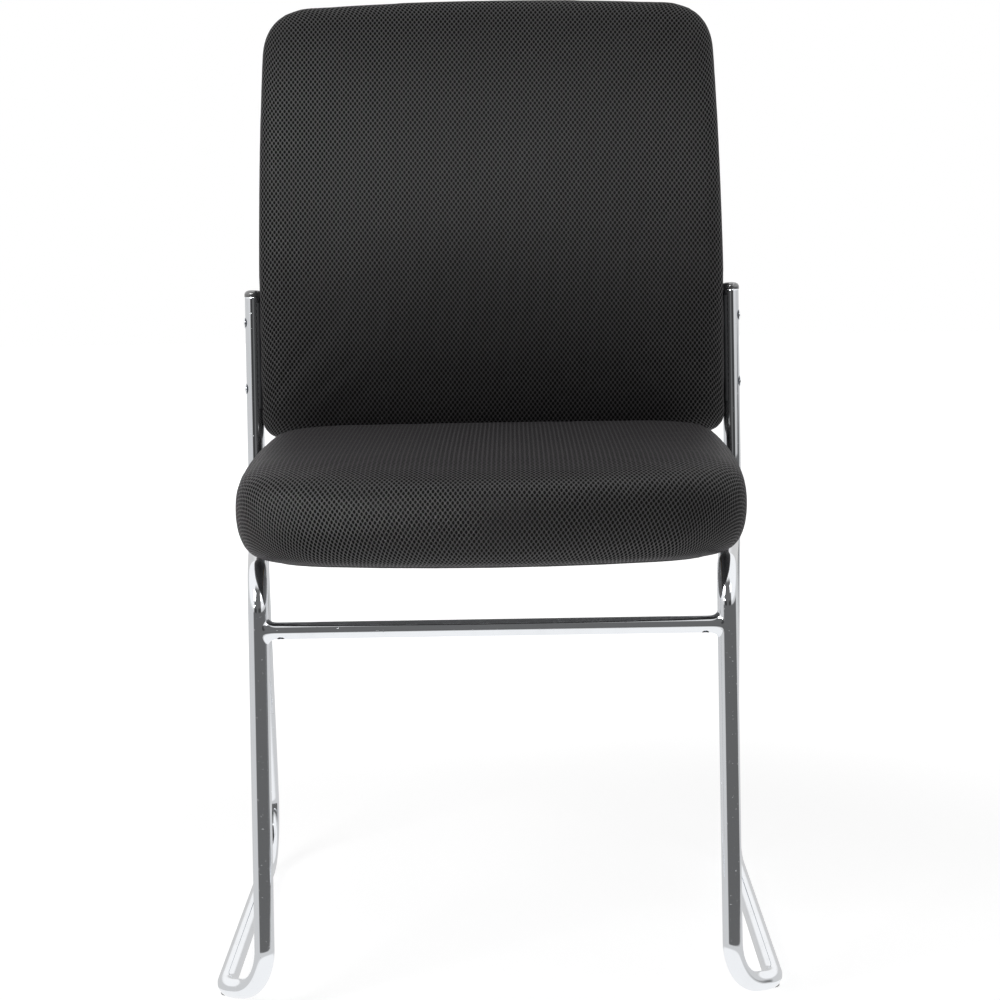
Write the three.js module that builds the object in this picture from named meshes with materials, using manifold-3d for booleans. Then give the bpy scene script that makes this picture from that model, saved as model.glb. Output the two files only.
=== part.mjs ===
// Sled base visitor chair: two bent tube side frames carry a padded seat and a padded back.
// Millimetres, +Z up, the sitter faces -Y. The finished group stands on z = 0, centred in plan.
import * as THREE from "three";
import { mergeVertices } from "three/addons/utils/BufferGeometryUtils.js";
import Module from "manifold-3d";

const wasm = await Module();
wasm.setup();

// Driving dimensions of the tube frame
const tubeDiameter = 18;
const kneeSpan = 416; // between the front legs' centre lines at the knees
const footSplay = 2.6; // how far a foot stands outside its knee
const footRake = 20; // how far a foot stands in front of its knee
const railSpan = 506; // between the floor rails' centre lines
const baseDepth = 458; // from the knees back to the heel corners
const hipSetback = 416; // from the knees back to the hip bends
const hipHeight = 440;
const postLength = 188; // from the hip bend up to the open end of the post
const postLean = 6; // degrees back from upright
const kneeRadius = 36;
const footRadius = 46;
const instepRadius = 46;
const heelRadius = 60;
const hipRadius = 120;
const footDrop = 13; // the first foot corner's height over the rail's centre line
const footReach = 48; // from the knees' plane back to the second foot corner, less the rake
const crossbarDiameter = 15;
const frontCrossbarDrop = 49; // from the seat rails' centre lines down to the front crossbar's
const rearCrossbarDrop = 33;
const flareLength = 13;
const flareDiameter = 31;
const flareWrap = 4; // how far a flared end reaches round the leg it is welded to
const railWeldSize = 1.6; // how far the bead round a seat rail's end stands out
const railWeldReach = 5;
const ventHoleDiameter = 6.4;
const ventHoleDepth = 5;
const ventHoleInset = 20; // from the leg's centre line to the vent hole
const ventHoleTurn = 28; // degrees forward from straight down

// Glides and post caps
const glideHeight = 3;
const glideDiameter = 13;
const glideStemDiameter = 5.4;
const glideStemLength = 9;
const glideRound = 1.2;
const frontGlideSetback = 44;
const rearGlideInset = 78; // from the heel corner forward to the rear glide
const capOverhang = 0.5;
const capRimHeight = 2.6;
const capDomeHeight = 5;
const capStemDiameter = 14;
const capStemLength = 16;

// Seat
const seatUnderside = 409.6;
const seatThickness = 86;
const seatCrown = 4;
const seatFall = 8; // how far the seat's front edge rolls down
const seatFallReach = 110;
const seatOverhang = 20; // the cushion's front half width outside the knee's centre line
const seatFlare = 5; // how much wider than that each side is at the rear
const seatNose = 42; // how far the cushion's front corners stand in front of the knees
const seatFrontCorner = 62;
const seatRearCorner = 58;
const seatFrontBow = 20;
const seatRearBow = 6;
const seatSideBow = 4;
const seatTuck = 4; // how far the seat reaches under the round of the back's lower edge
const boardThickness = 12;
const coverThickness = 1;
const tabThickness = 3;
const tabWidth = 30;
const boltDiameter = 6; // of the seat screws and the side bolts
const seatScrewSpan = 356;
const frontTabGap = 34; // from the knee bend's end to the front tab's middle
const rearTabGap = 88; // from the hip bends forward to the rear tab's middle
const teeFlangeDiameter = 20;
const teeFlangeThickness = 1.5;
const teeBarrelDiameter = 8.6;
const teeBarrelLength = 9.5;
const seatScrewHeadDiameter = 12;
const seatScrewHeadHeight = 3.4;
const seatScrewTail = 2; // how far the screw stops below the tee nut's top

// Back, measured in the plane of the posts: s runs up from the hip, d runs forward from the board's face
const backBottom = 36;
const backLength = 460;
const backFoam = 42;
const backCrown = 7;
const backWrap = 13; // how far the cushion's edge stands outside the board's
const backTopInset = 6; // how much narrower each side is at the top
const backTopCorner = 54;
const backBottomCorner = 40;
const backTopBow = 5;
const backBottomBow = 4;
const backSideBow = 1.5;
const backBoardThickness = 9;
const backBoardSetback = 10; // from the posts' centre lines back to the board's face
const backBendAngle = 12.5; // degrees turned by the board's curved upper part
const shellDepth = 11;
const shellWall = 2.5;
const shellBossDiameter = 13;
const shellScrewDiameter = 4.2;
const shellScrewHeadDiameter = 8.4;
const shellScrewHeadHeight = 2;
const shellScrewSink = 2.6; // how deep the screw's head sits in its boss
const shellScrewBite = 7;
const shellScrewSpan = 300;
const shellScrewLow = 34; // from the board's lower edge to the lower shell screws
const shellScrewHigh = 60; // from the board's upper edge to the upper shell screws

// Back brackets and their fasteners
const bracketThickness = 3;
const bracketBend = 4; // inner radius of the bracket's bend
const bracketEdge = 21; // from a side bolt to the bracket's nearer end
const bracketNose = 12; // how far the side flange reaches in front of the post's centre line
const rearFlangeWidth = 50;
const sideBoltSpacing = 70;
const sideBoltMargin = 11; // from the cap's stem down to the upper side bolt
const sideBoltHeadDiameter = 12;
const sideBoltHeadHeight = 1.4;
const sideBoltTail = 2; // how far the bolt stands out of its nut
const nutAcrossCorners = 11.5;
const nutHeight = 5;
const bracketScrewDiameter = 4.5;
const bracketScrewHeadDiameter = 9;
const bracketScrewHeadHeight = 2.6;
const bracketScrewBite = 7;
const bracketScrewInset = 16; // from the rear flange's free edge to its screws
const bracketScrewEdge = 14; // from the bracket's end to the nearer screw

// Fits shared by all pieces
const clearance = 0.3;
const overrun = 20; // how far a cutting body runs past what it cuts
const weldDistance = 0.0005;
const socketDepthSpare = 2;

// Facet counts
const tubeSides = 16;
const tubeArcStep = 9; // degrees of bend between two rings of a tube
const barSides = 20;
const screwSides = 12;
const capSides = 24;
const nutSides = 6;
const outlineSteps = 6;
const bendSteps = 10;
const flareSteps = 5;

// Sections of the padded pieces: each row is a share of the outline and a share of the thickness,
// from the middle of the underside, out round the edge and in to the middle of the face.
const seatSectionShares = [
  [0.5, 0],
  [0.875, 0],
  [0.928, 0.04],
  [0.963, 0.12],
  [0.986, 0.25],
  [0.998, 0.41],
  [1, 0.58],
  [0.992, 0.76],
  [0.968, 0.88],
  [0.925, 0.955],
  [0.85, 0.995],
  [0.68, 1],
  [0.4, 1],
];
const backSectionShares = [
  [0.5, 0],
  [0.948, 0],
  [0.968, 0.07],
  [0.981, 0.18],
  [0.991, 0.31],
  [0.998, 0.46],
  [1, 0.6],
  [0.992, 0.73],
  [0.97, 0.85],
  [0.932, 0.94],
  [0.86, 0.985],
  [0.7, 1],
  [0.4, 1],
];
const shellOuterShares = [
  [0.55, 1],
  [0.9, 1],
  [0.93, 0.93],
  [0.949, 0.7],
  [0.955, 0.3],
];
const panHeadShares = [
  [0.5, 1],
  [0.85, 0.75],
  [1, 0.25],
];
const capDomeShares = [0, 0.2, 0.4, 0.6, 0.8];
const seatBoardShare = 0.86;
const seatCoverShare = 0.868;
const backBoardShare = 0.93;
const shellShare = 0.956;
const lumbarHeightShare = 0.22; // where up the back the foam is fullest
const foamTopShare = 0.74; // how thick the foam is at the top edge, against the fullest place
const foamBottomShare = 0.88;

// Derived places of the frame
const tubeRadius = tubeDiameter / 2;
const kneeX = kneeSpan / 2;
const railX = railSpan / 2;
const railZ = glideHeight + tubeRadius;
const seatRailZ = seatUnderside - clearance - tubeRadius;
const lean = THREE.MathUtils.degToRad(postLean);
const rakeSlope = footRake / (seatRailZ - railZ - footDrop);
const splaySlope = footSplay / (seatRailZ - railZ - footDrop);
const legSlope = (baseDepth - hipSetback) / (hipHeight - railZ);
const railEndY = baseDepth - (seatRailZ - railZ) * legSlope;
const railFlare = (railX - kneeX) / railEndY; // how fast a seat rail moves outward to the rear
const frontCrossbarZ = seatRailZ - frontCrossbarDrop;
const rearCrossbarZ = seatRailZ - rearCrossbarDrop;
const rearCrossbarY = baseDepth - (rearCrossbarZ - railZ) * legSlope;
const crossbarRadius = crossbarDiameter / 2;

// Derived places of the back, in the back's own frame at the hip
const boltHoleRadius = boltDiameter / 2 + clearance;
const upperBoltZ = postLength - capStemLength - sideBoltMargin;
const lowerBoltZ = upperBoltZ - sideBoltSpacing;
const bracketTopZ = upperBoltZ + bracketEdge;
const bracketBottomZ = lowerBoltZ - bracketEdge;
const flangeOuterX = railX - tubeRadius - clearance;
const flangeInnerX = flangeOuterX - bracketThickness;
const boardRearD = -backBoardThickness;
const flangeRearD = boardRearD - clearance - bracketThickness;
const backBoardHalf = flangeInnerX - nutHeight - sideBoltTail - clearance - clearance;
const backHalf = backBoardHalf + backWrap;
const backBendStart = bracketTopZ + bracketEdge;
const backBendRadius =
  (backBottom + backLength - backBendStart) / THREE.MathUtils.degToRad(backBendAngle);
const backFaceY = backBoardSetback - backFoam;

// Derived places of the seat
const seatRearY = hipSetback + backFaceY * Math.cos(lean) + seatTuck;
const seatLength = seatRearY - seatRearBow + seatNose;
const boardBottomZ = seatUnderside + coverThickness + clearance;
const seatScrewX = seatScrewSpan / 2;
const tabPlaces = { front: kneeRadius + frontTabGap, rear: hipSetback - rearTabGap };

const finishes = {
  chrome: { color: 0xc8cacd, roughness: 0.08, metalness: 1 },
  zinc: { color: 0xaeb2b5, roughness: 0.35, metalness: 1 },
  blackSteel: { color: 0x1b1b1c, roughness: 0.5, metalness: 0.5 },
  blackPlastic: { color: 0x1c1c1e, roughness: 0.5, metalness: 0 },
  spacerMesh: { color: 0x2b2b2e, roughness: 0.92, metalness: 0 },
  plywood: { color: 0xb88f61, roughness: 0.7, metalness: 0 },
  nonwoven: { color: 0x161617, roughness: 0.95, metalness: 0 },
};

// A named piece with its own material
function piece(name, geometry, finish) {
  const mesh = new THREE.Mesh(geometry, new THREE.MeshStandardMaterial(finishes[finish]));
  mesh.name = name;
  return mesh;
}

// Joining and cutting

function solidOf(geometry) {
  const bare = geometry.index ? geometry.toNonIndexed() : geometry.clone();
  bare.deleteAttribute("normal");
  bare.deleteAttribute("uv");
  const merged = mergeVertices(bare, weldDistance);
  return new wasm.Manifold(
    new wasm.Mesh({
      numProp: 3,
      vertProperties: merged.attributes.position.array,
      triVerts: new Uint32Array(merged.index.array),
    }),
  );
}

function geometryOf(solid) {
  const { numProp, numVert, vertProperties, triVerts } = solid.getMesh();
  const positions = new Float32Array(numVert * 3);
  for (let i = 0; i < numVert; i++) {
    positions.set(vertProperties.subarray(i * numProp, i * numProp + 3), i * 3);
  }
  const shared = new THREE.BufferGeometry();
  shared.setAttribute("position", new THREE.BufferAttribute(positions, 3));
  shared.setIndex(new THREE.BufferAttribute(triVerts, 1));
  const geometry = shared.toNonIndexed();
  geometry.computeVertexNormals();
  return geometry;
}

function cut(geometry, ...tools) {
  return geometryOf(tools.reduce((left, tool) => left.subtract(solidOf(tool)), solidOf(geometry)));
}

function join(geometry, ...others) {
  return geometryOf(others.reduce((sum, other) => sum.add(solidOf(other)), solidOf(geometry)));
}

function common(geometry, other) {
  return geometryOf(solidOf(geometry).intersect(solidOf(other)));
}

// Basic bodies

// A round bar between two points
function bar(from, to, radius, sides) {
  const along = to.clone().sub(from);
  const geometry = new THREE.CylinderGeometry(radius, radius, along.length(), sides);
  const turn = new THREE.Quaternion().setFromUnitVectors(
    new THREE.Vector3(0, 1, 0),
    along.clone().normalize(),
  );
  geometry.applyQuaternion(turn);
  const middle = from.clone().add(to).multiplyScalar(0.5);
  return geometry.translate(middle.x, middle.y, middle.z);
}

// A block between two corners
function block(low, high) {
  const size = high.clone().sub(low);
  const middle = high.clone().add(low).multiplyScalar(0.5);
  return new THREE.BoxGeometry(size.x, size.y, size.z).translate(middle.x, middle.y, middle.z);
}

// A turned body: rows of [radius, height] up the axis, standing along +Z
function turned(rows, sides) {
  const profile = rows.map(([radius, height]) => new THREE.Vector2(radius, height));
  return new THREE.LatheGeometry(profile, sides).rotateX(Math.PI / 2);
}

// Turns a body that stands along +Z to stand along the given direction, at the given place
function aimed(geometry, place, direction) {
  const turn = new THREE.Quaternion().setFromUnitVectors(
    new THREE.Vector3(0, 0, 1),
    direction.clone().normalize(),
  );
  return geometry.applyQuaternion(turn).translate(place.x, place.y, place.z);
}

// Bent tube

// A centre line of straight runs joined by true arcs, sampled only where it bends
class BentLine extends THREE.Curve {
  constructor(corners, radii) {
    super();
    this.stations = [];
    const last = corners.length - 1;
    const heading = (i) => corners[i + 1].clone().sub(corners[i]).normalize();
    this.add(corners[0], heading(0));
    for (let i = 1; i < last; i++) {
      this.addArc(corners[i], heading(i - 1), heading(i), radii[i - 1]);
    }
    this.add(corners[last], heading(last - 1));
  }

  add(point, tangent) {
    this.stations.push({ point: point.clone(), tangent: tangent.clone() });
  }

  addArc(corner, before, after, radius) {
    const turn = before.angleTo(after);
    const start = corner.clone().addScaledVector(before, -radius * Math.tan(turn / 2));
    const side = after.clone().addScaledVector(before, -after.dot(before)).normalize();
    const count = Math.max(2, Math.ceil(turn / THREE.MathUtils.degToRad(tubeArcStep)));
    for (let k = 0; k <= count; k++) {
      const angle = (turn * k) / count;
      const point = start
        .clone()
        .addScaledVector(before, radius * Math.sin(angle))
        .addScaledVector(side, radius * (1 - Math.cos(angle)));
      const tangent = before
        .clone()
        .multiplyScalar(Math.cos(angle))
        .addScaledVector(side, Math.sin(angle));
      this.add(point, tangent);
    }
  }

  at(share) {
    return this.stations[Math.round(share * (this.stations.length - 1))];
  }

  getPoint(share, target = new THREE.Vector3()) {
    return target.copy(this.at(share).point);
  }

  getPointAt(share, target) {
    return this.getPoint(share, target);
  }

  getTangent(share, target = new THREE.Vector3()) {
    return target.copy(this.at(share).tangent);
  }

  getTangentAt(share, target) {
    return this.getTangent(share, target);
  }
}

function tube(line, radius, sides) {
  const section = new THREE.Shape();
  for (let k = 0; k < sides; k++) {
    const angle = (2 * Math.PI * k) / sides;
    const point = [radius * Math.cos(angle), radius * Math.sin(angle)];
    if (k === 0) section.moveTo(...point);
    else section.lineTo(...point);
  }
  return new THREE.ExtrudeGeometry(section, {
    steps: line.stations.length - 1,
    extrudePath: line,
  });
}

// Padded outlines and the closed forms lofted through them

// Where two plane lines, each a point and a direction, cross
function crossing(p, along, q, other) {
  const share =
    ((q.x - p.x) * other.y - (q.y - p.y) * other.x) / (along.x * other.y - along.y * other.x);
  return new THREE.Vector2(p.x + along.x * share, p.y + along.y * share);
}

// A rounded four-sided outline with bowed edges, near edge at v = 0, as points in order
function paddedOutline(form) {
  const { nearHalf, farHalf, length, nearCorner, farCorner, nearBow, farBow, sideBow } = form;
  const nearX = nearHalf - nearCorner;
  const farX = farHalf - farCorner;
  const sideX = (nearHalf + farHalf) / 2 + 2 * sideBow;
  const nearAim = new THREE.Vector2(0, -2 * nearBow);
  const farAim = new THREE.Vector2(0, length + 2 * farBow);
  const ends = {
    near: new THREE.Vector2(nearX, 0),
    sideLow: new THREE.Vector2(nearHalf, nearCorner),
    sideHigh: new THREE.Vector2(farHalf, length - farCorner),
    far: new THREE.Vector2(farX, length),
  };
  const sideAim = new THREE.Vector2(sideX, length / 2);
  const nearControl = crossing(
    ends.near,
    ends.near.clone().sub(nearAim),
    ends.sideLow,
    sideAim.clone().sub(ends.sideLow),
  );
  const farControl = crossing(
    ends.far,
    ends.far.clone().sub(farAim),
    ends.sideHigh,
    sideAim.clone().sub(ends.sideHigh),
  );
  const path = new THREE.Path();
  path.moveTo(-ends.near.x, ends.near.y);
  path.quadraticCurveTo(nearAim.x, nearAim.y, ends.near.x, ends.near.y);
  path.quadraticCurveTo(nearControl.x, nearControl.y, ends.sideLow.x, ends.sideLow.y);
  path.quadraticCurveTo(sideAim.x, sideAim.y, ends.sideHigh.x, ends.sideHigh.y);
  path.quadraticCurveTo(farControl.x, farControl.y, ends.far.x, ends.far.y);
  path.quadraticCurveTo(farAim.x, farAim.y, -ends.far.x, ends.far.y);
  path.quadraticCurveTo(-farControl.x, farControl.y, -ends.sideHigh.x, ends.sideHigh.y);
  path.quadraticCurveTo(-sideAim.x, sideAim.y, -ends.sideLow.x, ends.sideLow.y);
  path.quadraticCurveTo(-nearControl.x, nearControl.y, -ends.near.x, ends.near.y);
  const points = path.getPoints(outlineSteps);
  points.pop();
  return points;
}

// The outline drawn in about its middle
function scaledOutline(outline, middle, share) {
  return outline.map((p) => p.clone().sub(middle).multiplyScalar(share).add(middle));
}

// A closed body through rings of [share, height]; place turns outline and height into space
function lofted(outline, middle, rows, place) {
  const rings = rows.map(([share, height]) =>
    scaledOutline(outline, middle, share).map((p) => place(p.x, p.y, height, share)),
  );
  const first = place(middle.x, middle.y, rows[0][1], 0);
  const final = place(middle.x, middle.y, rows[rows.length - 1][1], 0);
  const corners = [];
  const triangle = (a, b, c) => corners.push(...a, ...b, ...c);
  const count = outline.length;
  for (let j = 0; j < count; j++) {
    const next = (j + 1) % count;
    const low = rings[0];
    const high = rings[rings.length - 1];
    triangle(first, low[next], low[j]);
    triangle(final, high[j], high[next]);
    for (let i = 0; i < rings.length - 1; i++) {
      triangle(rings[i][j], rings[i][next], rings[i + 1][next]);
      triangle(rings[i][j], rings[i + 1][next], rings[i + 1][j]);
    }
  }
  const geometry = new THREE.BufferGeometry();
  geometry.setAttribute("position", new THREE.Float32BufferAttribute(corners, 3));
  geometry.computeVertexNormals();
  return geometry;
}

// A body drawn for the right side, mirrored when it is wanted on the left
function onSide(side, geometry) {
  if (side > 0) return geometry;
  const bare = geometry.index ? geometry.toNonIndexed() : geometry;
  bare.scale(-1, 1, 1);
  const place = bare.attributes.position;
  const held = new THREE.Vector3();
  for (let i = 0; i < place.count; i += 3) {
    held.fromBufferAttribute(place, i);
    place.setXYZ(i, place.getX(i + 1), place.getY(i + 1), place.getZ(i + 1));
    place.setXYZ(i + 1, held.x, held.y, held.z);
  }
  bare.computeVertexNormals();
  return bare;
}

function plate(points, low, high) {
  const shape = new THREE.Shape(points);
  const body = new THREE.ExtrudeGeometry(shape, { depth: high - low, bevelEnabled: false });
  return body.translate(0, 0, low);
}

// Side frames

const backFrame = new THREE.Matrix4()
  .makeTranslation(0, hipSetback, hipHeight)
  .multiply(new THREE.Matrix4().makeRotationX(-lean));

// The knee, and the place on the rear leg's centre line where the seat rail ends
function railEnds(side) {
  const knee = new THREE.Vector3(side * kneeX, 0, seatRailZ);
  const leg = new THREE.Vector3(side * railX, railEndY, seatRailZ);
  return { knee, leg, forward: knee.clone().sub(leg).normalize() };
}

function sideLine(side) {
  const { knee, leg, forward } = railEnds(side);
  const postEnd = new THREE.Vector3(side * railX, 0, postLength).applyMatrix4(backFrame);
  const corners = [
    leg.clone().addScaledVector(forward, tubeRadius + railWeldReach / 2),
    knee,
    new THREE.Vector3(side * (kneeX + footSplay), -footRake, railZ + footDrop),
    new THREE.Vector3(side * railX, footReach - footRake, railZ),
    new THREE.Vector3(side * railX, baseDepth, railZ),
    new THREE.Vector3(side * railX, hipSetback, hipHeight),
    postEnd,
  ];
  return new BentLine(corners, [kneeRadius, footRadius, instepRadius, heelRadius, hipRadius]);
}

// The bead that joins the seat rail's end to the front of the rear leg
function railWeld(side) {
  const { leg, forward } = railEnds(side);
  const bead = turned(
    [
      [0, tubeRadius / 2],
      [tubeRadius, tubeRadius / 2],
      [tubeRadius + railWeldSize, tubeRadius],
      [tubeRadius + clearance, tubeRadius + railWeldReach],
      [0, tubeRadius + railWeldReach],
    ],
    tubeSides,
  );
  return aimed(bead, leg, forward);
}

function glidePlaces() {
  return { front: frontGlideSetback, rear: baseDepth - rearGlideInset };
}

function sideFrame(side) {
  const body = tube(sideLine(side), tubeRadius, tubeSides);
  const socket = bar(
    new THREE.Vector3(side * railX, 0, postLength - capStemLength - socketDepthSpare),
    new THREE.Vector3(side * railX, 0, postLength + overrun),
    capStemDiameter / 2 + clearance,
    capSides,
  ).applyMatrix4(backFrame);
  const boltHoles = [upperBoltZ, lowerBoltZ].map((height) =>
    bar(
      new THREE.Vector3(side * (railX - tubeRadius - overrun), 0, height),
      new THREE.Vector3(side * (railX + tubeRadius + overrun), 0, height),
      boltHoleRadius,
      screwSides,
    ).applyMatrix4(backFrame),
  );
  const glideHoles = Object.values(glidePlaces()).map((y) =>
    bar(
      new THREE.Vector3(side * railX, y, -overrun),
      new THREE.Vector3(side * railX, y, glideHeight + glideStemLength + socketDepthSpare),
      glideStemDiameter / 2 + clearance,
      screwSides,
    ),
  );
  return cut(join(body, railWeld(side)), socket, ...boltHoles, ...glideHoles);
}

// The bent tube grown by the fit, to cope what is welded to it
function frameTool(side) {
  return tube(sideLine(side), tubeRadius + clearance, tubeSides);
}

// Crossbars with flared ends, coped to the legs

function flaredBar(halfLength) {
  const flareRadius = flareDiameter / 2;
  const rows = [[0, -halfLength]];
  for (let k = 0; k <= flareSteps; k++) {
    const angle = ((Math.PI / 2) * k) / flareSteps;
    rows.push([
      flareRadius - (flareRadius - crossbarRadius) * Math.sin(angle),
      flareLength * (1 - Math.cos(angle)) - halfLength,
    ]);
  }
  const mirrored = rows.map(([radius, height]) => [radius, -height]).reverse();
  return turned([...rows, ...mirrored], barSides).rotateY(Math.PI / 2);
}

function frontCrossbar() {
  const drop = seatRailZ - frontCrossbarZ;
  const legX = kneeX + drop * splaySlope;
  const legY = -drop * rakeSlope;
  const body = flaredBar(legX - tubeRadius + flareWrap).translate(0, legY, frontCrossbarZ);
  const turn = THREE.MathUtils.degToRad(ventHoleTurn);
  const outward = new THREE.Vector3(0, -Math.sin(turn), -Math.cos(turn));
  const vents = [-1, 1].map((side) => {
    const centre = new THREE.Vector3(side * (legX - ventHoleInset), legY, frontCrossbarZ);
    const inner = centre.clone().addScaledVector(outward, crossbarRadius - ventHoleDepth);
    const outer = centre.clone().addScaledVector(outward, crossbarRadius + overrun);
    return bar(inner, outer, ventHoleDiameter / 2, screwSides);
  });
  return cut(body, frameTool(-1), frameTool(1), ...vents);
}

function rearCrossbar() {
  const body = flaredBar(railX - tubeRadius + flareWrap).translate(0, rearCrossbarY, rearCrossbarZ);
  const legs = [-1, 1].map((side) => {
    const foot = new THREE.Vector3(side * railX, baseDepth, railZ);
    const hip = new THREE.Vector3(side * railX, hipSetback, hipHeight);
    return bar(foot, hip, tubeRadius + clearance, tubeSides);
  });
  return cut(body, ...legs);
}

// Seat tabs, welded inside the seat rails

function seatTab(side, y) {
  const reach = kneeX + railFlare * y - seatScrewX;
  const half = tabWidth / 2;
  const shape = new THREE.Shape();
  shape.moveTo(0, -half);
  shape.lineTo(reach, -half);
  shape.lineTo(reach, half);
  shape.lineTo(0, half);
  shape.absarc(0, 0, half, Math.PI / 2, (3 * Math.PI) / 2, false);
  const hole = new THREE.Path();
  hole.absarc(0, 0, boltHoleRadius, 0, 2 * Math.PI, true);
  shape.holes.push(hole);
  const body = new THREE.ExtrudeGeometry(shape, {
    depth: tabThickness,
    bevelEnabled: false,
    curveSegments: screwSides / 2,
  });
  if (side < 0) body.rotateZ(Math.PI);
  body.translate(side * seatScrewX, y, seatUnderside - clearance - tabThickness);
  const { knee, leg } = railEnds(side);
  return cut(body, bar(knee, leg, tubeRadius + clearance, tubeSides * 2));
}

// Glides and caps

function glide(side, y) {
  const radius = glideDiameter / 2;
  const pad = turned(
    [
      [0, 0],
      [radius - glideRound, 0],
      [radius, glideRound],
      [radius, railZ],
      [0, railZ],
    ],
    capSides,
  ).translate(side * railX, y, 0);
  const stem = bar(
    new THREE.Vector3(side * railX, y, glideRound),
    new THREE.Vector3(side * railX, y, glideHeight + glideStemLength),
    glideStemDiameter / 2,
    screwSides,
  );
  return join(cut(pad, frameTool(side)), stem);
}

function postCap() {
  const rim = tubeRadius + capOverhang;
  const stem = capStemDiameter / 2;
  const dome = (share) => [
    rim * Math.cos((share * Math.PI) / 2),
    capRimHeight + capDomeHeight * Math.sin((share * Math.PI) / 2),
  ];
  return turned(
    [
      [0, -capStemLength],
      [stem, -capStemLength],
      [stem, clearance],
      [rim, clearance],
      ...capDomeShares.map(dome),
      [0, capRimHeight + capDomeHeight],
    ],
    capSides,
  );
}

// Seat pieces

const seatOutline = paddedOutline({
  nearHalf: kneeX + seatOverhang,
  farHalf: kneeX + seatOverhang + seatFlare,
  length: seatLength,
  nearCorner: seatFrontCorner,
  farCorner: seatRearCorner,
  nearBow: seatFrontBow,
  farBow: seatRearBow,
  sideBow: seatSideBow,
});
const seatMiddle = new THREE.Vector2(0, seatLength / 2);

function seatLayer(share, low, high) {
  const points = scaledOutline(seatOutline, seatMiddle, share);
  return plate(points, low, high).translate(0, -seatNose, 0);
}

function seatScrewSpots() {
  const spots = [];
  for (const [row, y] of Object.entries(tabPlaces)) {
    for (const [name, side] of [["left", -1], ["right", 1]]) {
      spots.push({ name: `${row}_${name}`, x: side * seatScrewX, y });
    }
  }
  return spots;
}

function uprightBar(x, y, low, high, radius) {
  return bar(new THREE.Vector3(x, y, low), new THREE.Vector3(x, y, high), radius, screwSides);
}

function seatBoard() {
  const top = boardBottomZ + boardThickness;
  const body = seatLayer(seatBoardShare, boardBottomZ, top);
  const flange = teeFlangeDiameter / 2 + clearance;
  const tools = seatScrewSpots().flatMap(({ x, y }) => [
    uprightBar(x, y, boardBottomZ - overrun, top + overrun, teeBarrelDiameter / 2 + clearance),
    uprightBar(x, y, top - teeFlangeThickness - clearance, top + overrun, flange),
  ]);
  return cut(body, ...tools);
}

function seatCover() {
  const body = seatLayer(seatCoverShare, seatUnderside, seatUnderside + coverThickness);
  const tools = seatScrewSpots().map(({ x, y }) =>
    uprightBar(x, y, seatUnderside - overrun, seatUnderside + overrun, teeBarrelDiameter / 2),
  );
  return cut(body, ...tools);
}

function seatCushion() {
  const body = lofted(seatOutline, seatMiddle, seatSectionShares, (u, v, rise, share) => {
    const crown = seatCrown * (1 - share * share);
    const fall = seatFall * Math.max(0, 1 - v / seatFallReach) ** 2;
    const height = rise * (seatThickness + crown - fall);
    return new THREE.Vector3(u, v - seatNose, boardBottomZ + height);
  });
  const grown = seatBoardShare + clearance / kneeX;
  const pocket = seatLayer(grown, boardBottomZ - overrun, boardBottomZ + boardThickness + clearance);
  return cut(body, pocket);
}

function teeNut() {
  const barrel = teeBarrelDiameter / 2;
  const flange = teeFlangeDiameter / 2;
  const top = teeBarrelLength + teeFlangeThickness;
  return turned(
    [
      [boltHoleRadius, 0],
      [barrel, 0],
      [barrel, teeBarrelLength],
      [flange, teeBarrelLength],
      [flange, top],
      [boltHoleRadius, top],
      [boltHoleRadius, 0],
    ],
    screwSides,
  );
}

// A pan head screw hanging by its head from z = 0, its shank pointing up +Z
function panScrew(shankRadius, shankLength, headRadius, headHeight) {
  return turned(
    [
      [0, -headHeight],
      ...panHeadShares.map(([share, rise]) => [headRadius * share, -headHeight * rise]),
      [headRadius, 0],
      [shankRadius, 0],
      [shankRadius, shankLength],
      [0, shankLength],
    ],
    screwSides,
  );
}

// Back pieces, in the back's own frame

// A point of the back: across x, up the board s, forward of the board's face d
function backPoint(x, s, d) {
  const past = Math.max(0, s - backBendStart);
  const angle = past / backBendRadius;
  const radius = backBendRadius + d;
  const y = backBoardSetback + backBendRadius - radius * Math.cos(angle);
  return new THREE.Vector3(x, y, s - past + radius * Math.sin(angle));
}

// The direction square to the board's face, forward, at the height s
function backNormal(s) {
  const angle = Math.max(0, s - backBendStart) / backBendRadius;
  return new THREE.Vector3(0, -Math.cos(angle), Math.sin(angle));
}

const backOutline = paddedOutline({
  nearHalf: backHalf,
  farHalf: backHalf - backTopInset,
  length: backLength,
  nearCorner: backBottomCorner,
  farCorner: backTopCorner,
  nearBow: backBottomBow,
  farBow: backTopBow,
  sideBow: backSideBow,
});
const backMiddle = new THREE.Vector2(0, backLength / 2);

// A bent layer of the back between two depths, as wide as wanted
function bentLayer(low, high, halfWidth) {
  const bottom = -overrun;
  const top = backBottom + backLength + overrun;
  const levels = [bottom];
  for (let k = 0; k <= bendSteps; k++) {
    levels.push(backBendStart + ((top - backBendStart) * k) / bendSteps);
  }
  const edge = (d) => levels.map((s) => backPoint(0, s, d));
  const points = [...edge(low), ...edge(high).reverse()].map((p) => new THREE.Vector2(p.y, p.z));
  const body = plate(points, -halfWidth, halfWidth);
  const turn = new THREE.Matrix4().makeBasis(
    new THREE.Vector3(0, 1, 0),
    new THREE.Vector3(0, 0, 1),
    new THREE.Vector3(1, 0, 0),
  );
  return body.applyMatrix4(turn);
}

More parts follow.
